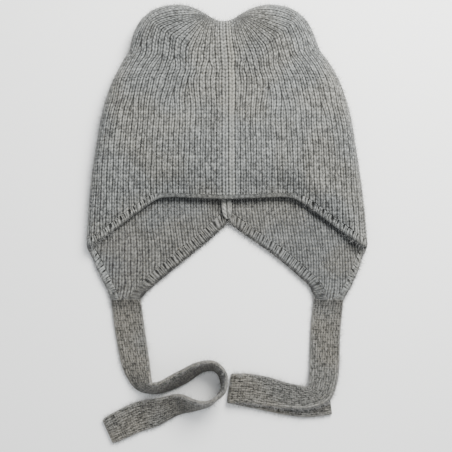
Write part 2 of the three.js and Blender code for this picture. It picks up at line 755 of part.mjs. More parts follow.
// The raised seam up the inside of the back, rounded over and tapered at both ends
function backSeam() {
  const from = bodyHemY(0) - seamOverlap;
  const sections = spread(0, 1, seamSteps).map((share) => {
    const width = seamWidth * readTable(seamRows, 'along', 'wide', share) / 2;
    const height = seamHeight * readTable(seamRows, 'along', 'high', share);
    const y = from + share * seamLength;
    const lean = leanAt(y) + swingAt(0, y);
    const base = Math.max(wall, bandThickness) + clearance;
    return seamSection.map(({ across, up }) => new THREE.Vector3(lean + across * width, y, base + up * height));
  });
  return loftSections(sections);
}

// The strap's cross section: crests and grooves on both faces, across from -1 to 1
function strapSection() {
  const face = [];
  const steps = tieRibs * 2;
  for (let i = 0; i <= steps; i += 1) {
    const across = lerp(-1, 1, i / steps);
    const isEdge = i === 0 || i === steps;
    const groove = isEdge ? tieThickness * selvedgeThinning : (i % 2 === 0 ? tieRibDepth / 2 : 0);
    face.push({ across, out: tieThickness / 2 - groove });
  }
  const under = face.slice().reverse().map(({ across, out }) => ({ across, out: -out }));
  return [...face, ...under];
}

// A strap through the rows of its table, standing or lying on the floor
function tieStrap(rows, startX, drop) {
  const layer = tieThickness + clearance;
  const keys = rows.map((row, index) => ({ ...row, index }));
  const read = (column, place) => readTable(keys, 'index', column, place);
  const centre = (place) => {
    const roll = THREE.MathUtils.degToRad(read('roll', place));
    const width = tieWidth * read('spread', place);
    const stand = Math.abs(Math.sin(roll)) * width / 2 + Math.abs(Math.cos(roll)) * tieThickness / 2;
    return new THREE.Vector3(
      startX + read('across', place) * tieWidth,
      -flapReach - clearance - read('fall', place) * drop - read('past', place) * tieWidth,
      stand + Math.max(0, read('lift', place)) * layer,
    );
  };
  const last = rows.length - 1;
  const steps = last * tieStepsPerRow;
  return spread(0, last, steps).map((place) => {
    const face = THREE.MathUtils.degToRad(read('face', place));
    const roll = THREE.MathUtils.degToRad(read('roll', place));
    const width = tieWidth * read('spread', place);
    const across = new THREE.Vector3(Math.cos(face) * Math.cos(roll), Math.sin(face) * Math.cos(roll), Math.sin(roll));
    const ahead = centre(Math.min(last, place + headingStep)).sub(centre(Math.max(0, place - headingStep)));
    const out = ahead.cross(across).normalize();
    const middle = centre(place);
    return strapSection().map((p) => middle.clone()
      .addScaledVector(across, p.across * width / 2)
      .addScaledVector(out, p.out));
  });
}

function tieStartX(side) {
  const middle = (outerHem[0].round + backHem[backHem.length - 1].round) / 2;
  const round = side < 0 ? middle : 4 - middle;
  return shellPoint(round, -flapReach / shoulderY, 0, 0).x;
}

const hat = new THREE.Group();
function addPiece(name, geometry, material) {
  const mesh = new THREE.Mesh(geometry, material);
  mesh.name = name;
  hat.add(mesh);
}

addPiece('knit_body', knitBody(), yarn);
addPiece('front_band', frontBand(), bandYarn);
addPiece('back_band', backBand(), bandYarn);
addPiece('back_seam', backSeam(), bandYarn);
addPiece('left_tie', loftSections(tieStrap(leftTieRows, tieStartX(-1), leftTieDrop)), tieYarn);
addPiece('right_tie', loftSections(tieStrap(rightTieRows, tieStartX(1), rightTieDrop)), tieYarn);

// The origin goes to the middle of the hat's footprint on the floor
const reach = new THREE.Box3().setFromObject(hat);
hat.position.set(-(reach.min.x + reach.max.x) / 2, -(reach.min.y + reach.max.y) / 2, -reach.min.z);

export default hat;
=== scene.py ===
import math

import bpy
import numpy as np
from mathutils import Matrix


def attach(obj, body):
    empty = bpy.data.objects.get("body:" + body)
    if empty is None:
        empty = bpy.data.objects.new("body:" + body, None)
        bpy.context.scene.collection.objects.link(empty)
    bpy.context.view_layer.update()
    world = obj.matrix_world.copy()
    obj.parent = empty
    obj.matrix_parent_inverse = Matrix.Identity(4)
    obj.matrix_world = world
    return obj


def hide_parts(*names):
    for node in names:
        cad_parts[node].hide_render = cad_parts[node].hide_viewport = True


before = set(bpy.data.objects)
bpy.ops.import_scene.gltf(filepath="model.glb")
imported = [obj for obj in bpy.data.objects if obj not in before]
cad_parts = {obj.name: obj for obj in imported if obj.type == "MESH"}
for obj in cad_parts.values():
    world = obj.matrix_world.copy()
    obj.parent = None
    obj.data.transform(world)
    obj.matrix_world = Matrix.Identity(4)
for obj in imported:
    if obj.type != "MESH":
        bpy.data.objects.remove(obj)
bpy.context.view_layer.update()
print("frame loaded")

# Sizes are in millimetres, as in the part's source. The model is moved by frameShift and
# turned into metres when its meshes are made.
millimetre = 0.001
hat = {
    "rimWidth": 190.0,
    "hatHeight": 162.6,
    "frontRise": 34.2,
    "backRise": 17.0,
    "flapReach": 35.5,
    "dipDepth": 10.4,
    "seamDrop": 7.0,
    "seamHalf": 9.4,
    "crownLean": 2.4,
    "rimLeanShare": 0.3,
    "backSwing": 4.3,
    "hemDroop": 4.6,
    "droopReach": 22.0,
    "braidRoom": 2.1,
    "bodyThickness": 17.0,
    "wall": 2.8,
    "earSpacing": 62.8,
    "ribDepth": 0.9,
    "shoulderShare": 0.694,
    "sideCamber": 0.22,
    "lobeWidth": 0.6,
    "foldShare": 0.14,
    "bendShare": 0.5,
    "centreCreep": 3.4,
    "centrePower": 1.3,
    "ribSlack": 6.2,
    "slackPower": 1.6,
    "gatherPower": 6.6,
    "gatherStart": 2.6,
    "cupPower": 6.0,
    "frozenLevel": 1.36,
}
halfRim = hat["rimWidth"] / 2
hatHeight = hat["hatHeight"]
shoulderY = hat["shoulderShare"] * hatHeight
dipY = hatHeight - hat["dipDepth"]
seamEndY = hatHeight - hat["seamDrop"]
earX = hat["earSpacing"] / 2
quarterLength = halfRim + hat["bodyThickness"] * hat["foldShare"]

# The side of the hat from the rim corner over the ear to the dip
sideOutline = {
    "out": [1.0, 0.973, 0.924, 0.869, 0.795, 0.715, 0.675, 0.657, 0.639, 0.614, 0.573, 0.48, 0.326, 0.205],
    "up": [0.0, 0.2, 0.405, 0.575, 0.697, 0.779, 0.812, 0.843, 0.876, 0.909, 0.945, 0.984, 1.0, 0.988],
}
# How thick the hat lies
thickness = {
    "up": [-0.25, 0.0, 0.2, 0.45, 0.7, 0.86, 1.0],
    "middle": [0.66, 0.66, 0.71, 0.97, 1.03, 0.98, 0.85],
    "lobe": [0.66, 0.66, 0.71, 0.97, 1.06, 1.28, 1.3],
    "fold": [0.28, 0.29, 0.32, 0.36, 0.43, 0.52, 0.56],
    "over": [0.46, 0.46, 0.5, 0.56, 0.66, 0.82, 0.86],
    "under": [0.3, 0.3, 0.34, 0.38, 0.44, 0.54, 0.58],
}
# The lower edges of the front with the flaps' outer sides, and of the back
outerHem = {
    "round": [0.807, 0.83, 0.865, 0.9, 0.935, 0.97, 1.0, 1.06, 1.14, 1.28, 1.425, 1.515, 1.58, 1.76, 2.0],
    "rise": [-1.0, -0.87, -0.68, -0.47, -0.25, -0.09, 0.0, 0.06, 0.2, 0.505, 0.81, 0.97, 1.0, 0.99, 0.965],
}
backHem = {
    "round": [0.0, 0.15, 0.31, 0.47, 0.56, 0.609],
    "drop": [0.0, 0.222, 0.45, 0.7, 0.86, 1.0],
}
frontBandSizes = {"width": 5.0, "lipWidth": 2.7, "thickness": 3.2, "lift": 0.3}
backBandSizes = {"width": 7.5, "thickness": 3.2, "lift": 0.3}
hemOverrun = 0.25
tiltStep = 0.02


def lerp(a, b, share):
    return a + (b - a) * share


def smooth(start, end, value):
    share = np.clip((value - start) / (end - start), 0, 1)
    return share * share * (3 - 2 * share)


# A column of a table, read between its rows along a smooth curve
def readTable(table, along, column, place):
    places = np.array(table[along], float)
    values = np.array(table[column], float)
    place = np.asarray(place, float)
    slopes = np.diff(values) / np.diff(places)
    tangents = np.concatenate((slopes[:1], (slopes[1:] + slopes[:-1]) / 2, slopes[-1:]))
    row = np.clip(np.searchsorted(places, place) - 1, 0, len(slopes) - 1)
    span = places[row + 1] - places[row]
    share = (place - places[row]) / span
    s1 = np.clip(share, 0, 1)
    s2 = s1 * s1
    s3 = s2 * s1
    curve = (2 * s3 - 3 * s2 + 1) * values[row] + (s3 - 2 * s2 + s1) * tangents[row] * span
    curve += (3 * s2 - 2 * s3) * values[row + 1] + (s3 - s2) * tangents[row + 1] * span
    return curve + slopes[row] * (share - s1) * span


# A smooth line through the outline's points, as in the source
def smoothLine(points, steps):
    points = np.array(points, float)
    ends = np.vstack((2 * points[0] - points[1], points, 2 * points[-1] - points[-2]))
    line = []
    for share in np.linspace(0, len(points) - 1, steps + 1):
        start = min(int(share), len(points) - 2)
        p0, p1, p2, p3 = ends[start:start + 4]
        d0, d1, d2 = (np.sqrt(np.linalg.norm(b - a)) for a, b in ((p0, p1), (p1, p2), (p2, p3)))
        t1 = ((p1 - p0) / d0 - (p2 - p0) / (d0 + d1) + (p2 - p1) / d1) * d1
        t2 = ((p2 - p1) / d1 - (p3 - p1) / (d1 + d2) + (p3 - p2) / d2) * d1
        t = share - start
        line.append(p1 + t1 * t + (3 * (p2 - p1) - 2 * t1 - t2) * t * t + (2 * (p1 - p2) + t1 + t2) * t ** 3)
    return np.array(line)


def makeOutline():
    points = [(out * halfRim, up * hatHeight) for out, up in zip(sideOutline["out"], sideOutline["up"])]
    points.append((hat["seamHalf"], seamEndY))
    line = smoothLine(points, 640)
    back = 1 - np.arange(1, 33) / 32
    dip = np.column_stack((hat["seamHalf"] * back, dipY + (seamEndY - dipY) * back * back))
    chain = np.vstack((line, dip))
    ahead = np.vstack((chain[1:], chain[-1:])) - np.vstack((chain[:1], chain[:-1]))
    ahead /= np.linalg.norm(ahead, axis=1)[:, None]
    length = np.concatenate(([0], np.cumsum(np.linalg.norm(np.diff(chain, axis=0), axis=1))))
    normal = np.column_stack((-ahead[:, 1], ahead[:, 0]))
    shoulder = int(np.argmax(chain[:, 1] >= shoulderY))
    return {"points": chain, "normal": normal, "length": length, "shoulder": shoulder, "seam": len(line) - 1}


outline = makeOutline()


# How far a plan point lies inside the outline, and the way out
def nearestEdge(x, y):
    points, normal = outline["points"], outline["normal"]
    found = np.empty(x.shape, int)
    for start in range(0, len(x), 8000):
        part = slice(start, start + 8000)
        gaps = (points[None, :, 0] - x[part, None]) ** 2 + (points[None, :, 1] - y[part, None]) ** 2
        found[part] = gaps.argmin(axis=1)
    across = (x - points[found, 0]) * normal[found, 0] + (y - points[found, 1]) * normal[found, 1]
    return np.maximum(0, across), -normal[found, 0], -normal[found, 1]


def sidePoint(level, inset):
    points, normal, length = outline["points"], outline["normal"], outline["length"]
    first = outline["shoulder"] + 1
    low = np.clip(level, 0, 1) * shoulderY
    lowX = np.interp(low, points[:first, 1], points[:first, 0])
    lowX = lowX + inset / np.interp(low, points[:first, 1], normal[:first, 0])
    target = lerp(length[outline["shoulder"]], length[outline["seam"]], np.clip(level - 1, 0, 1))
    highX, highY, normalX, normalY = (np.interp(target, length, values) for values in (
        points[:, 0], points[:, 1], normal[:, 0], normal[:, 1]))
    bend = smooth(1, 1.2, level)
    highX = highX + inset * lerp(1 / normalX, normalX, bend)
    highY = highY + inset * normalY * bend
    return np.where(level <= 1, lowX, highX), np.where(level <= 1, level * shoulderY, highY)


# Where the ribs of an ear turn towards the dip, from the centre line out to the corner
ribTurn = {
    "side": [0.0, 0.15, 0.27, 0.377, 0.55, 0.78],
    "out": [0.0, 8.9, 17.0, 24.0, 34.5, 44.8],
    "up": [131.5, 130.6, 130.6, 132.4, 140.0, 148.4],
    "sharpness": 0.035,
}


def planPoint(side, level, inset):
    foldX, foldY = sidePoint(level, inset)
    side = np.clip(side, 0, 1)
    rise = np.clip(level - 1, 0, 1)
    cornerX, cornerY = sidePoint(np.full(1, 1 + hat["bendShare"]), inset)
    startX = sidePoint(np.ones(1), inset)[0][0]
    scale = cornerX[0] / 52.6
    turnSide = np.append(ribTurn["side"], 1.0)
    turnX = np.interp(side, turnSide, np.append(np.array(ribTurn["out"]) * scale, cornerX[0]))
    turnY = np.interp(side, turnSide, np.append(ribTurn["up"], cornerY[0]))
    gathered = 1 - (1 - side) ** hat["gatherPower"]
    endX, endY = sidePoint(np.full(1, 2.0), inset)
    lastX = endX[0] * gathered
    lastY = dipY - inset + (endY[0] - dipY + inset) * gathered ** 2
    bend = rise / hat["bendShare"] - 1
    soft = ribTurn["sharpness"] + 0.5 * smooth(0.4, 0.2, side) + 0.3 * smooth(0.85, 1, side)
    after = (np.sqrt(bend * bend + soft * soft) + bend) / 2
    atStart = (np.sqrt(1 + soft * soft) - 1) / 2
    after = after - lerp(atStart, (np.sqrt(1 + soft * soft) + 1) / 2 - 1, rise)
    before = 1 + bend - after
    x = startX * side + (turnX - startX * side) * before + (lastX - turnX) * after
    y = shoulderY + (turnY - shoulderY) * before + (lastY - turnY) * after
    edgeX = startX + (cornerX[0] - startX) * before + (endX[0] - cornerX[0]) * after
    edgeY = shoulderY + (cornerY[0] - shoulderY) * before + (endY[0] - cornerY[0]) * after
    follow = smooth(0.76, 1, side)
    x = x + (foldX - edgeX) * follow
    y = y + (foldY - edgeY) * follow
    return np.where(level <= 1, foldX * side, x), np.where(level <= 1, level * shoulderY, y)


# Height over the floor of the upper or under side, with the way its face points
def sheetHeight(x, y, isUpper, inset):
    share = y / hatHeight
    values = {key: hat["bodyThickness"] * readTable(thickness, "up", key, share) for key in thickness if key != "up"}
    fold = values["fold"]
    distance, outX, outY = nearestEdge(x, np.maximum(0, y))
    distance = np.maximum(0, distance - inset)
    reach = np.maximum(1, (values["over"] if isUpper else values["under"]) - inset)
    gone = np.maximum(0, 1 - distance / reach)
    flat = np.sqrt(1 - gone * gone)
    lobe = np.exp(-(((x - earX) / (earX * hat["lobeWidth"])) ** 2))
    top = lerp(values["middle"], values["lobe"], lobe)
    camber = 1 - hat["sideCamber"] * (x / halfRim) ** 2
    tall = (top - fold) * camber - inset if isUpper else fold - inset
    size = np.hypot(gone / reach, flat / tall)
    sign = 1 if isUpper else -1
    return fold + sign * tall * flat, gone / reach / size, sign * flat / tall / size, outX, outY


# Even spacing of the ribs across a quarter, as a table over level and share of the cloth
spacingRows = 48
spacingColumns = 64
spacingShares = np.linspace(0, 1, 97)
spacingTables = {}


def spacingTable(isUpper, inset):
    key = (isUpper, round(inset, 2))
    if key not in spacingTables:
        sides = 1 - (1 - np.linspace(0, 1, spacingColumns + 1)) ** 2
        rows = []
        for level in np.linspace(0, hat["frozenLevel"], spacingRows + 1):
            x, y = planPoint(sides, np.full(sides.shape, level), inset)
            z = sheetHeight(x, y, isUpper, inset)[0]
            lengths = np.concatenate(([0], np.cumsum(np.sqrt(np.diff(x) ** 2 + np.diff(y) ** 2 + np.diff(z) ** 2))))
            rows.append(np.interp(spacingShares, lengths / lengths[-1], sides))
        spacingTables[key] = np.array(rows)
    return spacingTables[key]


def readSpacing(table, share, level):
    row = np.clip(level / hat["frozenLevel"], 0, 1) * spacingRows
    column = np.clip(share, 0, 1) * (len(spacingShares) - 1)
    r = np.minimum(row.astype(int), spacingRows - 1)
    c = np.minimum(column.astype(int), len(spacingShares) - 2)
    low = lerp(table[r, c], table[r, c + 1], column - c)
    return lerp(low, lerp(table[r + 1, c], table[r + 1, c + 1], column - c), row - r)


def sideAt(share, level, isUpper, inset):
    own = readSpacing(spacingTable(isUpper, inset), share, level)
    other = readSpacing(spacingTable(not isUpper, inset), share, level)
    return np.minimum(1, lerp(own, (own + other) / 2, smooth(1, hat["frozenLevel"], level)))


def leanAt(y):
    share = y / hatHeight
    low, high = smooth(0, 0.35, share), smooth(0.72, 0.9, share)
    return -hat["crownLean"] * lerp(high, low, hat["rimLeanShare"])


# The free lower part of the back lies a little to the right between its two side folds
def swingAt(x, y):
    below = -y / hat["flapReach"]
    share = smooth(-0.85, 0.34, below) * smooth(1.07, 0.68, below)
    return hat["backSwing"] * share * np.maximum(0, 1 - (x / halfRim) ** 2)


def outerHemY(half):
    rise = readTable(outerHem, "round", "rise", half)
    return np.where(rise > 0, rise * hat["frontRise"], rise * hat["flapReach"])


def backHemY(half):
    drop = readTable(backHem, "round", "drop", half)
    return hat["backRise"] - drop * (hat["backRise"] + hat["flapReach"])


def hemSlope(edge, half):
    return (edge(half + tiltStep) - edge(half - tiltStep)) / (2 * tiltStep * quarterLength)


# A line that keeps a width from a hem, square to it
def lineBeside(edge, start, end, width, away):
    half = np.linspace(start, end, 241)
    width = width(half) if callable(width) else width
    slope = hemSlope(edge, half)
    size = np.hypot(1, slope)
    return half + away * width * np.abs(slope) / size / quarterLength, edge(half) + width / size


def besideOuterHem(width):
    return lineBeside(outerHemY, outerHem["round"][0] - hemOverrun, 2, width, -1)


def besideBackHem(width):
    return lineBeside(backHemY, -hemOverrun, backHem["round"][-1] + hemOverrun, width, 1)


def readLine(line, half):
    return np.interp(half, line[0], line[1])


# Mesh making
pieces = {}
frameShift = np.array([0.00180816650390625, -14.845382690429688, 0.0])


def joinChains(first, firstPlaces, second, secondPlaces):
    faces = []
    i = j = 0
    while i + 1 < len(first) or j + 1 < len(second):
        a, b = first[i], second[j]
        takeFirst = j + 1 >= len(second) or (i + 1 < len(first) and firstPlaces[i + 1] <= secondPlaces[j + 1])
        if takeFirst:
            i += 1
            face = (a, first[i], b)
        else:
            j += 1
            face = (a, second[j], b)
        if len(set(face)) == 3:
            faces.append(face)
    return faces


def makePiece(name, points, faces, uv, wool, material, nodes):
    mesh = bpy.data.meshes.new(name)
    used = np.unique(np.concatenate([np.ravel(part) for part in faces if len(part)]))
    newIndex = np.zeros(len(points), int)
    newIndex[used] = np.arange(len(used))
    metres = (points[used] + frameShift) * millimetre
    allFaces = [tuple(face) for part in faces if len(part) for face in newIndex[np.asarray(part)].tolist()]
    mesh.from_pydata(metres.tolist(), [], allFaces)
    mesh.polygons.foreach_set("use_smooth", [True] * len(mesh.polygons))
    corners = np.empty(len(mesh.loops), int)
    mesh.loops.foreach_get("vertex_index", corners)
    layer = mesh.uv_layers.new(name="knit")
    layer.data.foreach_set("uv", uv[used][corners].astype(np.float32).ravel())
    # The first value per point is painted shade, dark in the knit's grooves, holes and creases; the second is the
    # stitches' own tone; the third weighs where loose fibres grow.
    for label, values in (("woolPaintedShade", wool[:, 0]), ("woolTone", wool[:, 1]), ("woolHalo", wool[:, 2])):
        attribute = mesh.attributes.new(label, "FLOAT", "POINT")
        attribute.data.foreach_set("value", values[used].astype(np.float32))
    mesh.validate()
    piece = bpy.data.objects.new(name, mesh)
    bpy.context.scene.collection.objects.link(piece)
    mesh.materials.append(material)
    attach(piece, "root")
    if nodes:
        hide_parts(*nodes)
    pieces[name] = piece
    triangles = sum(len(face) - 2 for face in allFaces)
    print(name, "made of", triangles, "triangles")
    return piece


# Cells of a grid of shared points, left out where a side has closed up
def gridFaces(index):
    a, b, c, d = index[:-1, :-1], index[:-1, 1:], index[1:, 1:], index[1:, :-1]
    a, b, c, d = (side.ravel() for side in (a, b, c, d))
    left, right, low, high = a == d, b == c, a == b, c == d
    whole = ~(left | right | low | high)
    quads = np.column_stack((a, b, c, d))[whole]
    takeBase = (left | high) & ~(right | low)
    takeLeft = right & ~(left | low | high)
    takeHigh = low & ~(left | right | high)
    triangles = np.vstack((
        np.column_stack((a, b, c))[takeBase & ~(left & high)],
        np.column_stack((a, b, d))[takeLeft],
        np.column_stack((a, c, d))[takeHigh],
    ))
    return [quads, triangles]


# Knitting: the legs of the stitches of one column, across runs from -1 to 1
def knitRelief(across, row, parting):
    away = np.abs(across)
    arch = np.sqrt(np.clip(1 - away ** 3, 0, 1))
    leg = 0.5 + 0.5 * np.cos(2 * np.pi * (row - 0.55 * away))
    return arch * (1 - parting * np.exp(-(away / 0.24) ** 2)) * (0.56 + 0.44 * leg)


# Small differences from stitch to stitch that are the same in every run
def stitchNoise(column, row, seed):
    value = np.sin(column * 12.9898 + np.floor(row) * 78.233 + seed * 37.719) * 43758.5453
    return value - np.floor(value)


# The band narrows to a plain lip along the flat middle of the front
def lipShare(half):
    return smooth(1.44, 1.58, half)


def frontBandWidth(half):
    return lerp(frontBandSizes["width"], frontBandSizes["lipWidth"], lipShare(half))


bodyOuterLine = besideOuterHem(lambda half: frontBandWidth(half) + 0.2)
bodyBackLine = besideBackHem(backBandSizes["width"] + 0.2)


# The front's lower edge sinks a little towards the back
def droopAt(half, y):
    above = (y - outerHemY(half)) / hat["droopReach"]
    overBraid = np.exp(-(((2 - half) * quarterLength / 8) ** 2))
    return (hat["hemDroop"] - hat["braidRoom"] * overBraid) * smooth(1, 0, above) * smooth(1.02, 1.27, half)


def halfOf(turn):
    turn = np.mod(turn, 4)
    return np.where(turn <= 2, turn, 4 - turn)


def bodyHemLevel(turn):
    half = halfOf(turn)
    outer = readLine(bodyOuterLine, half)
    inner = np.maximum(np.maximum(outer, readLine(bodyBackLine, half)), -hat["flapReach"])
    return np.where(half >= 1, outer, inner) / shoulderY


def turnedPoints(turn, level, inset, lift=0.0):
    shape = turn.shape
    level = np.broadcast_to(level, shape)
    inset = np.broadcast_to(inset, shape)
    lift = np.broadcast_to(lift, shape)
    turn = np.mod(turn, 4).ravel()
    half = np.where(turn <= 2, turn, 4 - turn)
    mirror = np.where(turn <= 2, -1.0, 1.0)
    level, inset, lift = level.ravel(), inset.ravel(), lift.ravel()
    points = np.empty((turn.size, 3))
    for isUpper in (True, False):
        pick = (half > 1) == isUpper
        if pick.any():
            share = 2 - half[pick] if isUpper else half[pick]
            points[pick] = wallPoints(mirror[pick], share, level[pick], isUpper, inset[pick], lift[pick])
    return points.reshape(shape + (3,))


def wallPoints(mirror, share, level, isUpper, inset, lift):
    points = np.empty((share.size, 3))
    for isLow in (True, False):
        for depth in ((0.0,) if isLow else np.unique(np.round(inset, 2))):
            pick = (level <= 1) == isLow
            if not isLow:
                pick &= np.round(inset, 2) == depth
            if not pick.any():
                continue
            side = sideAt(share[pick], level[pick], isUpper, depth)
            x, y = planPoint(side, level[pick], depth)
            z, out, up, outX, outY = sheetHeight(x, y, isUpper, depth)
            raised = lift[pick] - (inset[pick] if isLow else 0)
            aside = 0 if isUpper else swingAt(x, y)
            if isUpper and isLow:
                z = z - droopAt(2 - share[pick], y)
            points[pick] = np.column_stack((
                mirror[pick] * (x + raised * out * outX) + leanAt(y) + aside,
                y + raised * out * outY,
                np.maximum(0, z + raised * up),
            ))
    return points


# The ribs of a sheet. Each rib has its width at every level, and those that end grow thin
# between two levels.
ribs = {
    "perQuarter": 26,
    "pastFold": 2,
    "endedAtShoulder": [7, 10, 18, 24],
    "endedInEars": [3, 12, 15, 21],
    "shoulderTaper": (0.86, 1.03),
    "earTaper": (1.14, 1.34),
    "leftCentre": 0.75,
    "rightCentre": 1.75,
    "stitch": 2.45,
    "waver": 0.1,
    "fadeFrom": 0.72,
    "frontParting": 0.62,
    "backParting": 0.75,
}


def ribEdges(levels, firstWidth, seed):
    widths = np.ones((len(levels), ribs["perQuarter"] + ribs["pastFold"]))
    widths[:, 0] = firstWidth
    for order, rib in enumerate(ribs["endedAtShoulder"]):
        sooner = 0.05 * (order % 3) + 0.01 * seed
        widths[:, rib] *= 1 - smooth(ribs["shoulderTaper"][0] - sooner, ribs["shoulderTaper"][1] - sooner, levels)
    for order, rib in enumerate(ribs["endedInEars"]):
        sooner = 0.03 * (order % 3) - 0.006 * seed
        widths[:, rib] *= 1 - smooth(ribs["earTaper"][0] - sooner, ribs["earTaper"][1] - sooner, levels)
    edges = np.concatenate((np.zeros((len(levels), 1)), np.cumsum(widths, axis=1)), axis=1)
    count = np.arange(edges.shape[1])
    waver = np.sin(levels[:, None] * 9 + count * 2.1 + seed) + np.sin(levels[:, None] * 23 + count * 4.7 + seed * 2)
    inner = (count > 1) & (count < ribs["perQuarter"] - 1)
    room = np.minimum(1, np.concatenate((widths, widths[:, -1:]), axis=1)) ** 2
    edges += ribs["waver"] / 2 * waver * inner * room * np.roll(room, 1, axis=1)
    return edges / edges[:, ribs["perQuarter"]][:, None]


# Columns over a row of ribs: where each lies, its rib, and how far it lies across that rib
def ribColumns(edges, cells):
    places, ribOf, across = [], [], []
    for rib, count in enumerate(cells):
        for step in range(count):
            places.append(edges[:, rib] + (edges[:, rib + 1] - edges[:, rib]) * step / count)
            ribOf.append(rib)
            across.append(-1 + 2 * step / count)
    places.append(edges[:, -1])
    ribOf.append(len(cells) - 1)
    across.append(1.0)
    return np.array(places).T, np.array(ribOf), np.array(across)


# One face of a sheet of the body as a grid of shared points, cut off along the hem
def knitFace(edges, cells, levels, around, inset, depth, firstIndex, parting=None, sink=0.0):
    places, ribOf, across = ribColumns(edges, cells)
    turn = around + places
    level = np.repeat(levels[:, None], turn.shape[1], axis=1)
    hem = bodyHemLevel(turn[0])
    hemRow = np.clip(np.searchsorted(levels, hem, side="right") - 1, 0, len(levels) - 2)
    rows = np.arange(len(levels))[:, None]
    level = np.where(rows <= hemRow[None, :], hem[None, :], level)
    base = turnedPoints(turn, level, inset)
    starts = np.searchsorted(ribOf, np.arange(len(cells)))
    middles = starts + np.array(cells) // 2
    step = np.linalg.norm(np.diff(base[:, middles], axis=0), axis=2)
    below = np.where(levels[1:] <= 1, np.diff(levels) * shoulderY, 0)[:, None]
    along = np.concatenate((np.zeros((1, len(cells))), np.cumsum(np.where(below > 0, below, step), axis=0)))
    ends = np.append(starts[1:], len(ribOf) - 1)
    width = np.linalg.norm(base[:, ends] - base[:, starts], axis=2)
    row = (along / ribs["stitch"])[:, ribOf]
    wide = width[:, ribOf]
    strength = np.clip(wide / 3.3, 0, 1.25)
    if parting is not None:
        weak = 0.75 + 0.5 * stitchNoise(ribOf[None, :], row / 9, 5)
        relief = knitRelief(across[None, :], row, np.clip(parting * weak, 0, 0.85))
        relief = relief * (0.86 + 0.28 * stitchNoise(ribOf[None, :], row + 0.3, 1))
    else:
        relief = np.sqrt(np.clip(1 - np.abs(across) ** 2.2, 0, 1))[None, :] * np.ones_like(row)
    fade = 1 - 0.65 * smooth(1 + ribs["fadeFrom"], 2, level)
    lift = (relief - 0.55) * depth * strength * fade - sink
    sign = 1 if inset == 0 else -1
    points = turnedPoints(turn, level, inset, sign * lift)
    index = np.zeros(turn.shape, int)
    fresh = np.concatenate((np.ones((len(levels), 1), bool), np.diff(places, axis=1) > 2e-4), axis=1)
    index = np.cumsum(fresh.ravel()).reshape(index.shape) - 1
    keep = np.zeros(index.max() + 1, int)
    keep[index.ravel()[::-1]] = np.arange(index.size)[::-1]
    flat = keep[index]
    flat = np.where(rows < hemRow[None, :], flat[hemRow, np.arange(turn.shape[1])][None, :], flat)
    uv = np.stack((ribOf[None, :] * 3.4 + across[None, :] * wide / 2, along[:, ribOf]), axis=2)
    # Painted shade: dark along the grooves between ribs and over ribs that thin out, fading to a mid tone where all
    # ribs are narrow, and a little darker from level 1.2 up.
    local = np.maximum(width, np.maximum(np.roll(width, 1, axis=1), np.roll(width, -1, axis=1)))[:, ribOf]
    toEdge = (1 - np.abs(across))[None, :] * wide / 2
    shade = relief * smooth(-0.2, 0.62, toEdge) * smooth(0.05, 0.4, wide / np.maximum(local, 1e-6))
    shade = np.clip(lerp(0.36, shade, smooth(0.4, 1.1, local)), 0, 1) * (1 - 0.1 * smooth(1.2, 1.6, level))
    leg = 2 * ribOf[None, :] + (across[None, :] > 0)
    tone = stitchNoise(leg, row - 0.55 * np.abs(across[None, :]) + 0.5, 3)
    if around == 2:
        leftBeads, rightBeads = ribOf == len(cells) // 2 - 1, ribOf == len(cells) // 2
        tone = np.where(leftBeads, 0.6 + 0.4 * tone, np.where(rightBeads, 1.3 + 0.6 * tone, tone))
    plan = points.reshape(-1, 3)
    toRim = nearestEdge(np.abs(plan[:, 0] - leanAt(plan[:, 1])), np.maximum(0, plan[:, 1]))[0]
    halo = (np.exp(-toRim / 1.6) * (inset == 0)).reshape(shade.shape)
    wool = np.stack((shade, tone + 0 * shade, halo), axis=2).reshape(-1, 3)
    return points.reshape(-1, 3), flat + firstIndex, uv.reshape(-1, 2), wool, turn, level


def chainOf(index, places):
    keep = np.concatenate(([True], index[1:] != index[:-1]))
    return index[keep].tolist(), places[keep].tolist()


# A closed sheet with its outer and its inner face joined round the edge
def closeSheet(outer, inner, firstPoint):
    outerIndex, outerTurn, outerLevel = outer
    innerIndex, innerTurn, innerLevel = inner
    faces = gridFaces(outerIndex) + [part[:, ::-1] for part in gridFaces(innerIndex)]
    joints = []
    for pick, flip, values in (
        (np.s_[0, :], False, (outerTurn, innerTurn)),
        (np.s_[-1, :], True, (outerTurn, innerTurn)),
        (np.s_[:, 0], True, (outerLevel, innerLevel)),
        (np.s_[:, -1], False, (outerLevel, innerLevel)),
    ):
        first, firstPlaces = chainOf(outerIndex[pick], values[0][pick])
        second, secondPlaces = chainOf(innerIndex[pick], values[1][pick])
        if pick == np.s_[0, :] or pick == np.s_[-1, :]:
            joined = joinChains(first, firstPlaces, second, secondPlaces)
        else:
            joined = joinChains(first, firstPlaces, second, secondPlaces)
        joints += [face if flip else face[::-1] for face in joined]
    faces.append(np.array(joints))
    return faces


def frontEdges(levels):
    left = ribEdges(levels, ribs["leftCentre"], 1.0)
    right = ribEdges(levels, ribs["rightCentre"], 4.0)
    middle = (right[:, 1:2] - left[:, 1:2]) / 2
    return np.concatenate((-left[:, :0:-1], middle, right[:, 1:]), axis=1)


def stitchLevels(start, end, perStitch):
    step = ribs["stitch"] / perStitch / shoulderY
    return start + step * np.arange(int(np.ceil((end - start) / step)) + 1)


# Wool look. Node groups give the colour, with painted shade and a painted tint of light and shade, and the surface
# direction; plain values sit on the shader.
def newGroup(name, inputs, outputs):
    group = bpy.data.node_groups.new(name, "ShaderNodeTree")
    for label, kind, value in inputs:
        socket = group.interface.new_socket(name=label, in_out="INPUT", socket_type=kind)
        if value is not None:
            socket.default_value = value
    for label, kind in outputs:
        group.interface.new_socket(name=label, in_out="OUTPUT", socket_type=kind)
    start = group.nodes.new("NodeGroupInput")
    end = group.nodes.new("NodeGroupOutput")
    return group, start, end


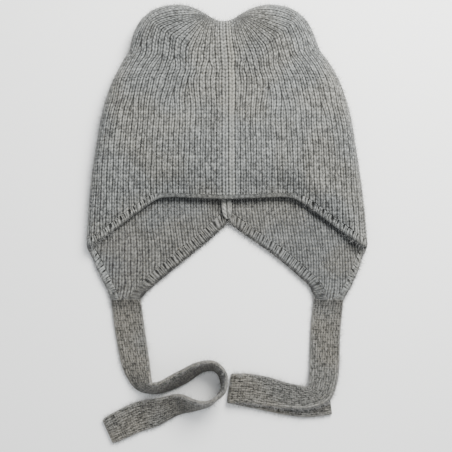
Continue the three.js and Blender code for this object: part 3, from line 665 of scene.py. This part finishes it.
def addNode(tree, kind, settings=None, links=None):
    node = tree.nodes.new(kind)
    for key, value in (settings or {}).items():
        setattr(node, key, value)
    for socket, value in (links or {}).items():
        if isinstance(value, bpy.types.NodeSocket):
            tree.links.new(value, node.inputs[socket])
        else:
            node.inputs[socket].default_value = value
    return node


def mixColours(tree, factor, first, second, blend="MIX"):
    node = addNode(tree, "ShaderNodeMix", {"data_type": "RGBA", "blend_type": blend})
    for socket, value in ((0, factor), (6, first), (7, second)):
        if isinstance(value, bpy.types.NodeSocket):
            tree.links.new(value, node.inputs[socket])
        else:
            node.inputs[socket].default_value = value
    return node.outputs[2]


def calculate(tree, operation, *values):
    node = addNode(tree, "ShaderNodeMath", {"operation": operation}, dict(enumerate(values)))
    return node.outputs[0]


def spread(tree, value, low, high, first=0.0, last=1.0):
    return addNode(tree, "ShaderNodeMapRange", {"interpolation_type": "SMOOTHSTEP"}, {
        "Value": value, "From Min": low, "From Max": high, "To Min": first, "To Max": last}).outputs[0]


def fleckNoise(tree, place, scale, stretch, detail=3.0):
    mapping = addNode(tree, "ShaderNodeMapping", {}, {"Vector": place, "Scale": (scale * stretch, scale, scale)})
    return addNode(tree, "ShaderNodeTexNoise", {}, {
        "Vector": mapping.outputs[0], "Scale": 1.0, "Detail": detail, "Roughness": 0.6}).outputs["Fac"]


def makeWoolGroup():
    group, start, end = newGroup("melangeWool", [
        ("Light", "NodeSocketColor", (0.4, 0.4, 0.4, 1)),
        ("Dark", "NodeSocketColor", (0.1, 0.1, 0.1, 1)),
        ("Fleck", "NodeSocketColor", (0.6, 0.55, 0.45, 1)),
        ("GrooveShade", "NodeSocketFloat", 0.3),
        ("Yarn Scale", "NodeSocketFloat", 1.0),
    ], [("Color", "NodeSocketColor"), ("Height", "NodeSocketFloat")])
    coordinates = addNode(group, "ShaderNodeTexCoord")
    knit = addNode(group, "ShaderNodeUVMap", {"uv_map": "knit"}).outputs[0]
    # Painted shade per point, low in the grooves and holes of the knit
    depth = addNode(group, "ShaderNodeAttribute", {"attribute_name": "woolPaintedShade"}).outputs["Fac"]
    scaled = addNode(group, "ShaderNodeVectorMath", {"operation": "SCALE"}, {0: knit})
    group.links.new(start.outputs["Yarn Scale"], scaled.inputs["Scale"])
    strands = fleckNoise(group, scaled.outputs[0], 0.4, 2.6)
    fibres = fleckNoise(group, scaled.outputs[0], 0.9, 2.0)
    patches = fleckNoise(group, coordinates.outputs["Object"], 38.0, 1.0, 2.0)
    stitch = addNode(group, "ShaderNodeAttribute", {"attribute_name": "woolTone"}).outputs["Fac"]
    tone = calculate(group, "MULTIPLY", calculate(group, "MINIMUM", stitch, 0.85), 0.12)
    for noise, share in ((strands, 0.42), (fibres, 0.42), (patches, 0.08)):
        tone = calculate(group, "ADD", tone, calculate(group, "MULTIPLY", noise, share))
    wool = mixColours(group, spread(group, tone, 0.36, 0.68), start.outputs["Dark"], start.outputs["Light"])
    warm = spread(group, fleckNoise(group, scaled.outputs[0], 0.75, 2.4), 0.56, 0.68, 0.0, 0.55)
    warm = calculate(group, "MAXIMUM", warm, spread(group, stitch, 1.0, 1.8, 0.0, 0.16))
    wool = mixColours(group, warm, wool, start.outputs["Fleck"])
    # Painted tint of light and shade: random patches are cooled towards blue as painted shade, the rest warmed a
    # little as painted light.
    cool = spread(group, fleckNoise(group, coordinates.outputs["Object"], 24.0, 1.0, 1.0), 0.42, 0.62, 0.0, 0.8)
    wool = mixColours(group, 1.0, wool, mixColours(group, cool, (1.01, 1.0, 0.985, 1), (0.93, 0.97, 1.03, 1)), "MULTIPLY")
    # Where the painted shade channel is low, the colour is multiplied down to the groove factor: painted shade in the
    # grooves and holes of the knit.
    hollow = spread(group, depth, 0.05, 0.85)
    shade = calculate(group, "ADD", start.outputs["GrooveShade"], calculate(
        group, "MULTIPLY", hollow, calculate(group, "SUBTRACT", 1.0, start.outputs["GrooveShade"])))
    wool = mixColours(group, 1.0, wool, shade, "MULTIPLY")
    group.links.new(wool, end.inputs["Color"])
    height = calculate(group, "ADD", calculate(group, "MULTIPLY", fibres, 0.6), strands)
    group.links.new(height, end.inputs["Height"])
    return group


woolGroup = makeWoolGroup()


def woolMaterial(name, look):
    material = bpy.data.materials.new(name)
    material.use_nodes = True
    tree = material.node_tree
    shader = tree.nodes["Principled BSDF"]
    wool = addNode(tree, "ShaderNodeGroup", {"node_tree": woolGroup}, {
        key: look[key] for key in ("Light", "Dark", "Fleck", "GrooveShade", "Yarn Scale")})
    bump = addNode(tree, "ShaderNodeBump", {}, {"Strength": 0.6, "Distance": look["bump"], "Height": wool.outputs["Height"]})
    tree.links.new(wool.outputs["Color"], shader.inputs["Base Color"])
    tree.links.new(bump.outputs["Normal"], shader.inputs["Normal"])
    shader.inputs["Roughness"].default_value = 0.95
    shader.inputs["Specular IOR Level"].default_value = 0.15
    shader.inputs["Sheen Weight"].default_value = look["sheen"]
    shader.inputs["Sheen Roughness"].default_value = 0.6
    return material


bodyLook = {
    "Light": (0.276, 0.281, 0.266, 1), "Dark": (0.03, 0.031, 0.031, 1), "Fleck": (0.29, 0.27, 0.205, 1),
    "GrooveShade": 0.06, "Yarn Scale": 1.0, "bump": 0.0005, "sheen": 0.15,
}
bandLook = dict(bodyLook, GrooveShade=0.08)
# The back and its band use a darker copy of the body's wool: painted shade for the inside of the hat, seen through
# its opening.
shadedBackLook = dict(bodyLook, Light=(0.192, 0.194, 0.185, 1), Dark=(0.036, 0.037, 0.037, 1), GrooveShade=0.22)
tieLook = dict(bodyLook, Light=(0.226, 0.219, 0.197, 1), Dark=(0.022, 0.022, 0.021, 1), GrooveShade=0.02)
bodyWool = woolMaterial("bodyWool", bodyLook)
shadedBackWool = woolMaterial("shadedBackWool", shadedBackLook)
bandWool = woolMaterial("bandWool", bandLook)
shadedBackBandWool = woolMaterial("shadedBackBandWool", dict(shadedBackLook, GrooveShade=0.1))
tieWool = woolMaterial("tieWool", tieLook)
fuzzWool = bpy.data.materials.new("fuzzWool")
fuzzWool.use_nodes = True
fuzzWool.node_tree.nodes["Principled BSDF"].inputs["Base Color"].default_value = (0.26, 0.26, 0.255, 1)
fuzzWool.node_tree.nodes["Principled BSDF"].inputs["Roughness"].default_value = 0.9
print("materials made")

# The front of the hat, with its ribs carried a little under the side folds
bodyNodes = ("knit_body",)
lowestLevel = -hat["flapReach"] / shoulderY
frontLevels = np.concatenate((
    stitchLevels(lowestLevel, 1 - 1e-3, 4),
    np.linspace(1, 2, 128),
))
ribCount = ribs["perQuarter"] + ribs["pastFold"] - 1


def makeFront():
    edges = frontEdges(frontLevels)
    cells = [6] * ribCount + [8, 8] + [6] * ribCount
    points, index, uv, shade, turn, level = knitFace(
        edges, cells, frontLevels, 2.0, 0.0, hat["ribDepth"], 0, ribs["frontParting"])
    innerLevels = np.concatenate((np.linspace(lowestLevel, 0.99, 26), np.linspace(1, 2, 16)))
    innerCells = [2] * (2 * ribCount + 2)
    inner = knitFace(frontEdges(innerLevels), innerCells, innerLevels, 2.0, hat["wall"], 0.5, len(points))
    faces = closeSheet((index, turn, level), (inner[1], inner[4], inner[5]), 0)
    return makePiece(
        "front_panel", np.vstack((points, inner[0])), faces, np.vstack((uv, inner[2])),
        np.concatenate((shade, inner[3])), bodyWool, bodyNodes)


makeFront()


def backEdges(levels):
    side = ribEdges(levels, 0.5, 7.0)
    last = ribs["perQuarter"] - ribs["pastFold"]
    limit = frontEdges(levels)[:, -1:] - 1
    side = side[:, :last + 1] / side[:, last:last + 1] * (1 - limit)
    return np.concatenate((-side[:, :0:-1], side[:, 1:]), axis=1)


def makeBack():
    seenTo = 0.46
    levels = np.concatenate((stitchLevels(lowestLevel, seenTo, 4), np.linspace(seenTo + 0.03, 0.99, 16), np.linspace(1, 2, 24)))
    outerLevels = np.concatenate((stitchLevels(lowestLevel, 0.99, 1), np.linspace(1, 2, 40)))
    count = ribs["perQuarter"] - ribs["pastFold"] - 1
    outer = knitFace(backEdges(outerLevels), [4] * (2 * count + 1), outerLevels, 0.0, 0.0, 0.7, 0, None, 0.1)
    inner = knitFace(
        backEdges(levels), [6] * (2 * count + 1), levels, 0.0, hat["wall"], hat["ribDepth"], len(outer[0]),
        ribs["backParting"])
    faces = closeSheet((outer[1], outer[4], outer[5]), (inner[1], inner[4], inner[5]), 0)
    return makePiece(
        "back_panel", np.vstack((outer[0], inner[0])), faces, np.vstack((outer[2], inner[2])),
        np.concatenate((outer[3], inner[3])), shadedBackWool, bodyNodes)


makeBack()


# The edge bands
def evenAlong(edge, start, end, step):
    fine = np.linspace(start, end, 4001)
    height = edge(halfOf(fine))
    length = np.concatenate(([0], np.cumsum(np.hypot(np.diff(fine) * quarterLength, np.diff(height)))))
    count = int(round(length[-1] / step))
    targets = np.linspace(0, length[-1], count + 1)
    return np.interp(targets, length, fine), targets


def meetFlapEnd(line):
    above = line[1] + hat["flapReach"]
    i = int(np.argmax(above[:-1] * above[1:] <= 0))
    return lerp(line[0][i], line[0][i + 1], above[i] / (above[i] - above[i + 1]))


frontBandLook = {"stripe": 4.0, "relief": 1.0, "hole": 0.7, "curve": 0.3, "lean": 0.25, "step": 0.45, "seenFace": 0, "rolled": 0.9, "wool": bandWool}
backBandLook = {"stripe": 3.5, "relief": 0.8, "hole": 0.5, "curve": 0.05, "lean": 0.15, "step": 0.45, "seenFace": 1, "rolled": 0.5, "wool": shadedBackBandWool}


def bandRelief(along, reach, look, plain, slope):
    waver = 0.14 * np.sin(along * 0.83) + 0.1 * np.sin(along * 0.31 + 2)
    lean = look["lean"] * slope * reach ** 1.5 - look["curve"] * np.sign(slope) * (1 - reach) ** 2
    phase = along / look["stripe"] + waver - lean
    strand = 0.5 - 0.5 * np.cos(4 * np.pi * phase)
    gap = np.abs(phase - np.round(phase))
    hole = np.exp(-(gap / 0.17) ** 2) * smooth(0.38, 0.68, reach) * (1 - 0.5 * smooth(0.88, 1.0, reach))
    roll = 1 - 0.6 * (1 - smooth(0.16, 0.42, reach))
    relief = (strand * 0.8 * roll + 0.22 - look["hole"] * hole) * smooth(-0.16, 0.18, reach)
    lip = 0.12 + 0.36 * np.sqrt(np.clip(1 - ((reach - 0.5) / 0.5) ** 2, 0, 1)) * (0.75 + 0.25 * np.cos(2 * np.pi * along / 3.7))
    lip = np.maximum(lip, 0.46 * smooth(0.6, 1, reach))
    return lerp(relief, lip, plain)


def makeBand(name, node, edge, line, sizes, away, start, end, endHalf, centreHalf, look):
    turn, along = evenAlong(edge, start, end, look["step"])
    half = halfOf(turn)
    slope = hemSlope(edge, half)
    width = frontBandWidth(half) if centreHalf == 2 else sizes["width"]
    shift = away * width * np.abs(slope) / np.hypot(1, slope) / quarterLength
    fromCentre = smooth(0, 0.08, np.abs(half - centreHalf))
    nearEnd = np.maximum(0, 1 - np.abs(half - endHalf) * quarterLength / (2.5 * width))
    farHalf = half + lerp(shift * fromCentre, meetFlapEnd(line) - endHalf, nearEnd ** 2)
    front = smooth(1, 1.3, half)
    plain = lipShare(half) if centreHalf == 2 else 0 * half
    seenReach = np.linspace(1, 0.1, 15)
    hiddenReach = np.linspace(0.1, 1, 6)
    edgeReach = np.array([0.04, 0.01, 0.0, 0.01, 0.04])
    edgeDepth = np.array([0.1, 0.28, 0.5, 0.72, 0.9])
    isSeenOuter = look["seenFace"] == 0
    outerReach, innerReach = (seenReach, hiddenReach) if isSeenOuter else (hiddenReach[::-1], seenReach[::-1])
    reach = np.concatenate((outerReach, edgeReach, innerReach))
    depth = np.concatenate((0 * outerReach, edgeDepth, 0 * innerReach + 1))
    depth[0], depth[-1] = 0.05, 0.95
    seen = np.concatenate((0 * outerReach + (1 if isSeenOuter else 0.35), 0 * edgeReach + 0.3,
                           0 * innerReach + (0.35 if isSeenOuter else 1)))
    seen[0] = seen[-1] = 0
    signedSlope = np.clip(np.gradient(edge(half), along), -0.9, 0.9)
    relief = bandRelief(along[:, None], reach[None, :], look, plain[:, None], signedSlope[:, None])
    relief = lerp(relief, 0.5, 0.6 * smooth(0.25, 1, nearEnd)[:, None])
    place = lerp(half[:, None], farHalf[:, None], reach[None, :])
    farY = readLine(line, farHalf)
    y = np.maximum(-hat["flapReach"], lerp(edge(half)[:, None], farY[:, None], reach[None, :]))
    outward = np.where(depth < 0.5, 1, -1)[None, :] * (relief - 0.6) * look["relief"] * seen[None, :]
    inset = (sizes["thickness"] * depth[None, :] - sizes["lift"] * front[:, None]) - outward
    turns = np.where((turn <= 2)[:, None], place, 4 - place)
    if centreHalf == 0:
        turns = np.where((turn >= 0)[:, None], place, -place)
    count = turns.shape[1]
    points = turnedPoints(turns.ravel(), (y / shoulderY).ravel(), 0.0, -inset.ravel())
    index = np.arange(len(points)).reshape(turns.shape)
    ring = np.concatenate((index, index[:, :1]), axis=1)
    faces = gridFaces(ring)
    for row, flip in ((index[0], True), (index[-1], False)):
        middle = count // 2
        low, high = row[:middle + 1], row[middle:][::-1]
        cap = joinChains(list(low), list(np.linspace(0, 1, len(low))), list(high), list(np.linspace(0, 1, len(high))))
        cap = [face for face in cap if len(set(face)) == 3]
        faces.append(np.array([face[::-1] if flip else face for face in cap]))
    uv = np.stack((np.broadcast_to(along[:, None], turns.shape), reach[None, :] * sizes["width"] + 0 * turns), axis=2)
    # Painted shade: the band darkens towards its ends, where it meets the tie, as painted shadow, and along its
    # rolled outer edge, which curves down to the floor; its holes and stitch gaps are dark as painted shade too.
    shade = lerp(relief + (1 - seen)[None, :] * 0.2, 0.3, 0.6 * smooth(0.25, 1, nearEnd)[:, None])
    shade = np.clip(shade, 0, 1) * lerp(look["rolled"], 1, smooth(0.04, 0.42, reach))[None, :]
    tone = stitchNoise(np.floor(2 * along / look["stripe"])[:, None], np.floor(reach * 2.5)[None, :], 4) + 0 * shade
    halo = smooth(0.16, 0, reach)[None, :] * (1 - front)[:, None]
    wool = np.stack((shade, tone, halo), axis=2).reshape(-1, 3)
    return makePiece(name, points, faces, uv.reshape(-1, 2), wool, look["wool"], (node,))


frontEnd = outerHem["round"][0]
backEnd = backHem["round"][-1]
makeBand("front_edge", "front_band", outerHemY, besideOuterHem(frontBandWidth), frontBandSizes,
         -1, frontEnd, 4 - frontEnd, frontEnd, 2, frontBandLook)
makeBand("back_edge", "back_band", backHemY, besideBackHem(backBandSizes["width"]), backBandSizes,
         1, -backEnd, backEnd, backEnd, 0, backBandLook)


# The braided seam up the inside of the back
seam = {"width": 7.0, "height": 2.4, "length": 50.0, "overlap": 7.0, "clearance": 0.3, "strandStep": 2.9}
seamRows = {
    "along": [0.0, 0.04, 0.1, 0.3, 0.45, 0.7, 1.0],
    "wide": [0.35, 0.8, 1.0, 1.0, 0.95, 0.95, 0.9],
    "high": [0.5, 0.85, 1.0, 0.95, 0.6, 0.5, 0.2],
}


def makeSeam():
    start = float(bodyHemLevel(np.array([0.0]))[0]) * shoulderY - seam["overlap"]
    share = np.linspace(0, 1, 141)[:, None]
    across = np.concatenate((np.linspace(1, -1, 25), np.linspace(-1, 1, 7)))[None, :]
    top = np.concatenate((np.ones(25), np.zeros(7)))[None, :]
    along = share * seam["length"]
    side = np.abs(across)
    rope = np.sqrt(np.clip(1 - ((side - 0.5) / 0.5) ** 2, 0, 1))
    strand = 0.5 + 0.5 * np.cos(2 * np.pi * (along / seam["strandStep"] - 0.9 * side + 0.4 * (across > 0)))
    relief = rope * (0.62 + 0.38 * strand)
    width = seam["width"] * readTable(seamRows, "along", "wide", share) / 2
    height = seam["height"] * readTable(seamRows, "along", "high", share)
    base = max(hat["wall"], frontBandSizes["thickness"]) + seam["clearance"]
    dome = 0.25 + 0.45 * np.sqrt(np.clip(1 - side ** 2.2, 0, 1)) + 0.42 * relief
    y = start + along + 0 * across
    points = np.stack((leanAt(y) + swingAt(0, y) + across * width, y, base + top * height * dome), axis=2)
    index = np.arange(points.shape[0] * points.shape[1]).reshape(points.shape[:2])
    ring = np.concatenate((index, index[:, :1]), axis=1)
    faces = gridFaces(ring)
    for row, flip in ((index[0], True), (index[-1], False)):
        low, high = row[:25], row[25:][::-1]
        cap = joinChains(list(low), list(np.linspace(0, 1, len(low))), list(high), list(np.linspace(0, 1, len(high))))
        faces.append(np.array([face[::-1] if flip else face for face in cap]))
    uv = np.stack((across * width, along + 0 * across), axis=2)
    # Painted shade: dark between the braid's strands and along its middle groove.
    shade = np.clip(0.22 + 0.75 * relief + (1 - top) * 0.3, 0, 1) * smooth(-0.3, 0.2, side)
    tone = stitchNoise(np.sign(across), along / seam["strandStep"] - 0.9 * side, 2) + 0 * shade
    wool = np.stack((shade, tone, 0 * shade), axis=2).reshape(-1, 3)
    return makePiece("seam_braid", points.reshape(-1, 3), faces, uv.reshape(-1, 2), wool,
                     bandWool, ("back_seam",))


makeSeam()

# The ties
tie = {
    "width": 20.3, "thickness": 2.6, "clearance": 0.3, "tucked": 2.5, "swell": 0.8, "columns": 12, "cells": 6, "relief": 0.4,
    "stitch": 1.65, "step": 0.5, "leftDrop": 56.7, "rightDrop": 57.4, "selvedge": 0.86,
}
tieColumns = ["fall", "past", "across", "face", "roll", "spread", "lift"]
leftTieRows = [
    (0.0, 0.0, 0.0, 0, 0, 1, 0), (0.18, 0.0, 0.06, 2, 0, 1, 0), (0.46, 0.0, 0.18, 4, 2, 1, 0),
    (0.74, 0.0, 0.33, 5, 12, 1, 0), (0.9, 0.0, 0.47, 9, 30, 1, 0), (1.0, -0.03, 0.63, 27, 45, 1, 0),
    (1.0, 0.06, 0.85, 54, 55, 1, 0), (1.0, 0.02, 1.24, 84, 58, 1, 0), (1.0, -0.28, 1.9, 115, 57, 1, 0),
    (1.0, -0.61, 2.48, 107, 62, 1, 0), (1.0, -0.67, 2.94, 88, 64, 1, 0), (1.0, -0.45, 3.22, 55, 70, 1, 0),
    (1.0, -0.15, 3.29, 15, 79, 1, 0), (1.0, 0.2, 3.22, -35, 92, 1, 0), (1.0, 0.55, 2.83, -80, 108, 1, 0),
    (1.0, 0.63, 2.4, -88, 120, 1, 0), (1.0, 0.64, 1.8, -94, 145, 1, 0), (1.0, 0.92, 1.15, -92, 168, 1, 0),
    (1.0, 1.14, 0.37, -76, 180, 1, 0), (1.0, 1.5, -0.38, -67, 180, 0.94, 0), (1.0, 1.61, -0.6, -66, 180, 0.84, 0),
]
rightTieRows = [
    (0.0, 0.0, 0.0, 0, 0, 1, 0), (0.18, 0.0, -0.06, -3, 0, 1, 0), (0.46, 0.0, -0.13, -2, 0, 1, 0),
    (0.72, 0.0, -0.15, -2, 0, 1, 0.2), (0.9, 0.0, -0.19, -6, 0, 0.97, 0.8), (1.0, 0.2, -0.31, -32, 0, 0.88, 1),
    (1.0, 0.36, -0.58, -60, 0, 0.78, 1), (1.0, 0.4, -0.9, -84, 0, 0.8, 1), (1.0, 0.33, -1.5, -92, 0, 0.88, 1),
    (1.0, 0.2, -2.1, -99, 0, 0.97, 1), (1.0, 0.1, -2.78, -98, 0, 1, 1), (1.0, 0.1, -3.17, -98, 0, 1, 1),
    (1.0, 0.12, -3.3, -98, 0, 1, 0.5), (1.0, 0.15, -3.17, -99, 0, 1, 0), (1.0, 0.24, -2.78, -100, 0, 1, 0),
    (1.0, 0.38, -2.1, -101, 0, 1, 0), (1.0, 0.54, -1.3, -100, 0, 1, 0), (1.0, 0.6, -0.65, -92, 0, 1, 0),
    (1.0, 0.5, 0.04, -83, 0, 1, 0),
]


def tieStartX(mirror):
    middle = (outerHem["round"][0] + backHem["round"][-1]) / 2
    turn = middle if mirror < 0 else 4 - middle
    return turnedPoints(np.array([turn]), np.array([lowestLevel]), 0.0)[0, 0]


def makeTie(name, node, rows, startX, drop, ridge):
    table = {key: [row[i] for row in rows] for i, key in enumerate(tieColumns)}
    table["row"] = list(range(len(rows)))
    last = len(rows) - 1

    def read(key, place):
        return readTable(table, "row", key, place)

    def middleAt(place):
        roll = np.radians(read("roll", place))
        width = tie["width"] * read("spread", place)
        stand = np.abs(np.sin(roll)) * width / 2 + np.abs(np.cos(roll)) * tie["thickness"] / 2
        return np.column_stack((
            startX + read("across", place) * tie["width"],
            -hat["flapReach"] + tie["tucked"] - read("fall", place) * (drop + tie["tucked"]) - read("past", place) * tie["width"],
            stand + np.maximum(0, read("lift", place)) * (tie["thickness"] + tie["clearance"]),
        ))

    fine = np.linspace(0, last, 2001)
    length = np.concatenate(([0], np.cumsum(np.linalg.norm(np.diff(middleAt(fine), axis=0), axis=1))))
    count = int(round(length[-1] / tie["step"]))
    along = np.linspace(0, length[-1], count + 1)
    place = np.interp(along, length, fine)
    face, roll = np.radians(read("face", place)), np.radians(read("roll", place))
    width = tie["width"] * read("spread", place)
    across = np.column_stack((np.cos(face) * np.cos(roll), np.sin(face) * np.cos(roll), np.sin(roll)))
    ahead = middleAt(np.minimum(last, place + 0.05)) - middleAt(np.maximum(0, place - 0.05))
    out = np.cross(ahead, across)
    out /= np.linalg.norm(out, axis=1)[:, None]
    cellCount = tie["columns"] * tie["cells"]
    side = np.linspace(-1, 1, cellCount + 1)
    column = (side + 1) / 2 * tie["columns"]
    inColumn = 2 * (column - np.floor(column)) - 1
    relief = knitRelief(inColumn[None, :], along[:, None] / tie["stitch"], 0.55)
    tone = stitchNoise(np.floor(column * 2)[None, :], along[:, None] / tie["stitch"] - 0.55 * np.abs(inColumn), 6)
    profile = np.sqrt(np.clip(1 - np.clip((np.abs(side) - tie["selvedge"]) / (1 - tie["selvedge"]), 0, 1) ** 2 * 0.8, 0, 1))
    rolled = np.exp(-((side[None, :] - ridge["side"]) / 0.13) ** 2)
    rolled = rolled * (smooth(ridge["from"], ridge["full"], place) * smooth(ridge["end"], ridge["full"] + 1, place))[:, None]
    # The tie's first 15 mm, where it comes out from under the flap, is shaded darker: painted shadow. The same factor
    # lowers its relief a little.
    relief = relief * lerp(0.66, 1, smooth(2, 15, along))[:, None]
    half = tie["thickness"] / 2 * profile[None, :] + (relief - 0.75) * tie["relief"] * profile[None, :]
    swell = tie["swell"] * smooth(0, tie["tucked"], along) * smooth(12, 3.5, along)
    half = half + ridge["height"] * rolled + swell[:, None] * profile[None, :]
    tone = np.clip(tone + ridge["lighter"] * rolled, 0, 1)
    halo = np.broadcast_to(smooth(0.8, 1, np.abs(side)), half.shape)
    # The shade channel is painted shade, dark in the gaps between stitch columns; it also carries the stitches' own
    # random tone, and is kept light along the rim.
    shade = lerp(relief * (0.79 + 0.38 * tone), 0.62, smooth(0.93, 1, np.abs(side))[None, :])
    upper = np.stack((np.broadcast_to(side, half.shape), half, shade, tone, halo), axis=2)
    lower = np.stack((np.broadcast_to(side, half.shape), -half, shade, tone, halo), axis=2)[:, ::-1]
    section = np.concatenate((upper, lower), axis=1)
    points = middleAt(place)[:, None, :] + across[:, None, :] * (section[:, :, :1] * width[:, None, None] / 2)
    points = points + out[:, None, :] * section[:, :, 1:2]
    points[:, :, 2] = np.maximum(0, points[:, :, 2])
    size = section.shape[1]
    index = np.arange(points.shape[0] * size).reshape(-1, size)
    ring = np.concatenate((index, index[:, :1]), axis=1)
    faces = [part[:, ::-1] for part in gridFaces(ring)]
    for row, flip in ((index[0], False), (index[-1], True)):
        pairs = np.column_stack((row[:cellCount], row[1:cellCount + 1], row[::-1][1:cellCount + 1], row[::-1][:cellCount]))
        faces.append(pairs if flip else pairs[:, ::-1])
    uv = np.stack((section[:, :, 0] * tie["width"] / 2 + 30 * (section[:, :, 1] > 0), along[:, None] + 0 * section[:, :, 0]), axis=2)
    piece = makePiece(name, points.reshape(-1, 3), faces, uv.reshape(-1, 2),
                      section[:, :, 2:].reshape(-1, 3), tieWool, (node,))
    flat = (tie["width"] * millimetre, float(length[-1]) * millimetre)
    print(name, "lies", round(flat[1], 4), "m long")
    return piece, flat


leftRidge = {"side": -0.85, "from": 3, "full": 6, "end": 9, "height": 0.2, "lighter": 0.3}
rightRidge = {"side": 0.8, "from": 2, "full": 5, "end": 10.5, "height": 0.9, "lighter": 1.0}
leftTie, leftFlat = makeTie("left_strap", "left_tie", leftTieRows, tieStartX(-1), tie["leftDrop"], leftRidge)
rightTie, rightFlat = makeTie("right_strap", "right_tie", rightTieRows, tieStartX(1), tie["rightDrop"], rightRidge)

# Loose fibres that stand out of the wool
fuzz = {"seed": 7, "front_panel": 7000, "back_panel": 2500, "front_edge": 900, "back_edge": 1500,
        "left_strap": 3500, "right_strap": 3500, "width": 0.16, "shortest": 0.6, "longest": 2.8, "stray": 0.02}


def makeFuzz():
    rng = np.random.default_rng(fuzz["seed"])
    for name, count in [(key, value) for key, value in fuzz.items() if key in pieces]:
        mesh = pieces[name].data
        total = len(mesh.polygons)
        centres, normals, areas = np.empty(total * 3), np.empty(total * 3), np.empty(total)
        mesh.polygons.foreach_get("center", centres)
        mesh.polygons.foreach_get("normal", normals)
        mesh.polygons.foreach_get("area", areas)
        centres, normals = centres.reshape(-1, 3), normals.reshape(-1, 3)
        halo = np.empty(len(mesh.vertices))
        mesh.attributes["woolHalo"].data.foreach_get("value", halo)
        first = np.empty(total, int)
        mesh.polygons.foreach_get("loop_start", first)
        corners = np.empty(len(mesh.loops), int)
        mesh.loops.foreach_get("vertex_index", corners)
        weight = areas * (0.01 + halo[corners[first]])
        chosen = rng.choice(total, count, p=weight / weight.sum())
        start, out = centres[chosen], normals[chosen]
        long = rng.random(count) < fuzz["stray"]
        length = rng.uniform(fuzz["shortest"], fuzz["longest"], count) * np.where(long, 2, 1) * millimetre
        ahead = out + rng.normal(0, 0.55, (count, 3))
        ahead /= np.linalg.norm(ahead, axis=1)[:, None]
        curl = rng.uniform(-0.6, 0.6, (count, 3))
        steps = np.linspace(0, 1, 4)[None, :, None]
        line = start[:, None] + length[:, None, None] * (
            ahead[:, None] * steps + curl[:, None] * steps ** 2 + np.array([0, 0, -0.25]) * steps ** 2)
        line[:, :, 2] = np.maximum(line[:, :, 2], 0.0001)
        side = np.cross(out, rng.normal(0, 1, (count, 3)))
        side /= np.linalg.norm(side, axis=1)[:, None] + 1e-9
        other = np.cross(out, side)
        thin = fuzz["width"] / 2 * millimetre * (1 - 0.7 * steps)
        ring = [line + thin * (math.cos(a) * side + math.sin(a) * other)[:, None] for a in (0, 2.094, 4.189)]
        points = np.stack(ring, axis=2).reshape(-1, 3)
        index = np.arange(len(points)).reshape(count, 4, 3)
        ring = np.concatenate((index, index[:, :, :1]), axis=2)
        sides = np.stack((ring[:, :-1, :-1], ring[:, :-1, 1:], ring[:, 1:, 1:], ring[:, 1:, :-1]), axis=3).reshape(-1, 4)
        ends = np.concatenate((index[:, 0, ::-1], index[:, -1]))
        fluff = bpy.data.meshes.new(name + "_fuzz")
        fluff.from_pydata(points.tolist(), [], sides.tolist() + ends.tolist())
        fluff.materials.append(fuzzWool)
        piece = bpy.data.objects.new(name + "_fuzz", fluff)
        bpy.context.scene.collection.objects.link(piece)
        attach(piece, "root")
    print("loose fibres made")


makeFuzz()

# Floor, light and camera
floorMesh = bpy.data.meshes.new("floor")
floorMesh.from_pydata([(-2, -2, 0), (2, -2, 0), (2, 2, 0), (-2, 2, 0)], [], [(0, 1, 2, 3)])
floor = bpy.data.objects.new("floor", floorMesh)
bpy.context.scene.collection.objects.link(floor)
floorLook = bpy.data.materials.new("paleFloor")
floorLook.use_nodes = True
floorLook.node_tree.nodes["Principled BSDF"].inputs["Base Color"].default_value = (0.86, 0.87, 0.865, 1)
floorLook.node_tree.nodes["Principled BSDF"].inputs["Roughness"].default_value = 0.8
floorMesh.materials.append(floorLook)

world = bpy.data.worlds.new("studio")
bpy.context.scene.world = world
world.use_nodes = True
world.node_tree.nodes["Background"].inputs["Color"].default_value = (0.95, 0.97, 1.0, 1)
world.node_tree.nodes["Background"].inputs["Strength"].default_value = 0.96


def addLight(name, place, size, power, colour):
    data = bpy.data.lights.new(name, "AREA")
    data.size, data.energy, data.color = size, power, colour
    light = bpy.data.objects.new(name, data)
    light.location = place
    towards = -np.array(place)
    light.rotation_euler = (math.atan2(math.hypot(towards[0], towards[1]), -towards[2]), 0, math.atan2(-towards[0], towards[1]))
    bpy.context.scene.collection.objects.link(light)


addLight("keyLight", (0.24, 0.42, 0.46), 0.34, 14, (1.0, 0.985, 0.95))

cameraData = bpy.data.cameras.new("camera")
cameraData.sensor_width = 36
cameraData.lens = 54.8
cameraData.clip_start = 0.01
camera = bpy.data.objects.new("camera", cameraData)
camera.location = (-0.0007, 0.0002, 0.470)
bpy.context.scene.collection.objects.link(camera)
bpy.context.scene.camera = camera
print("camera set")
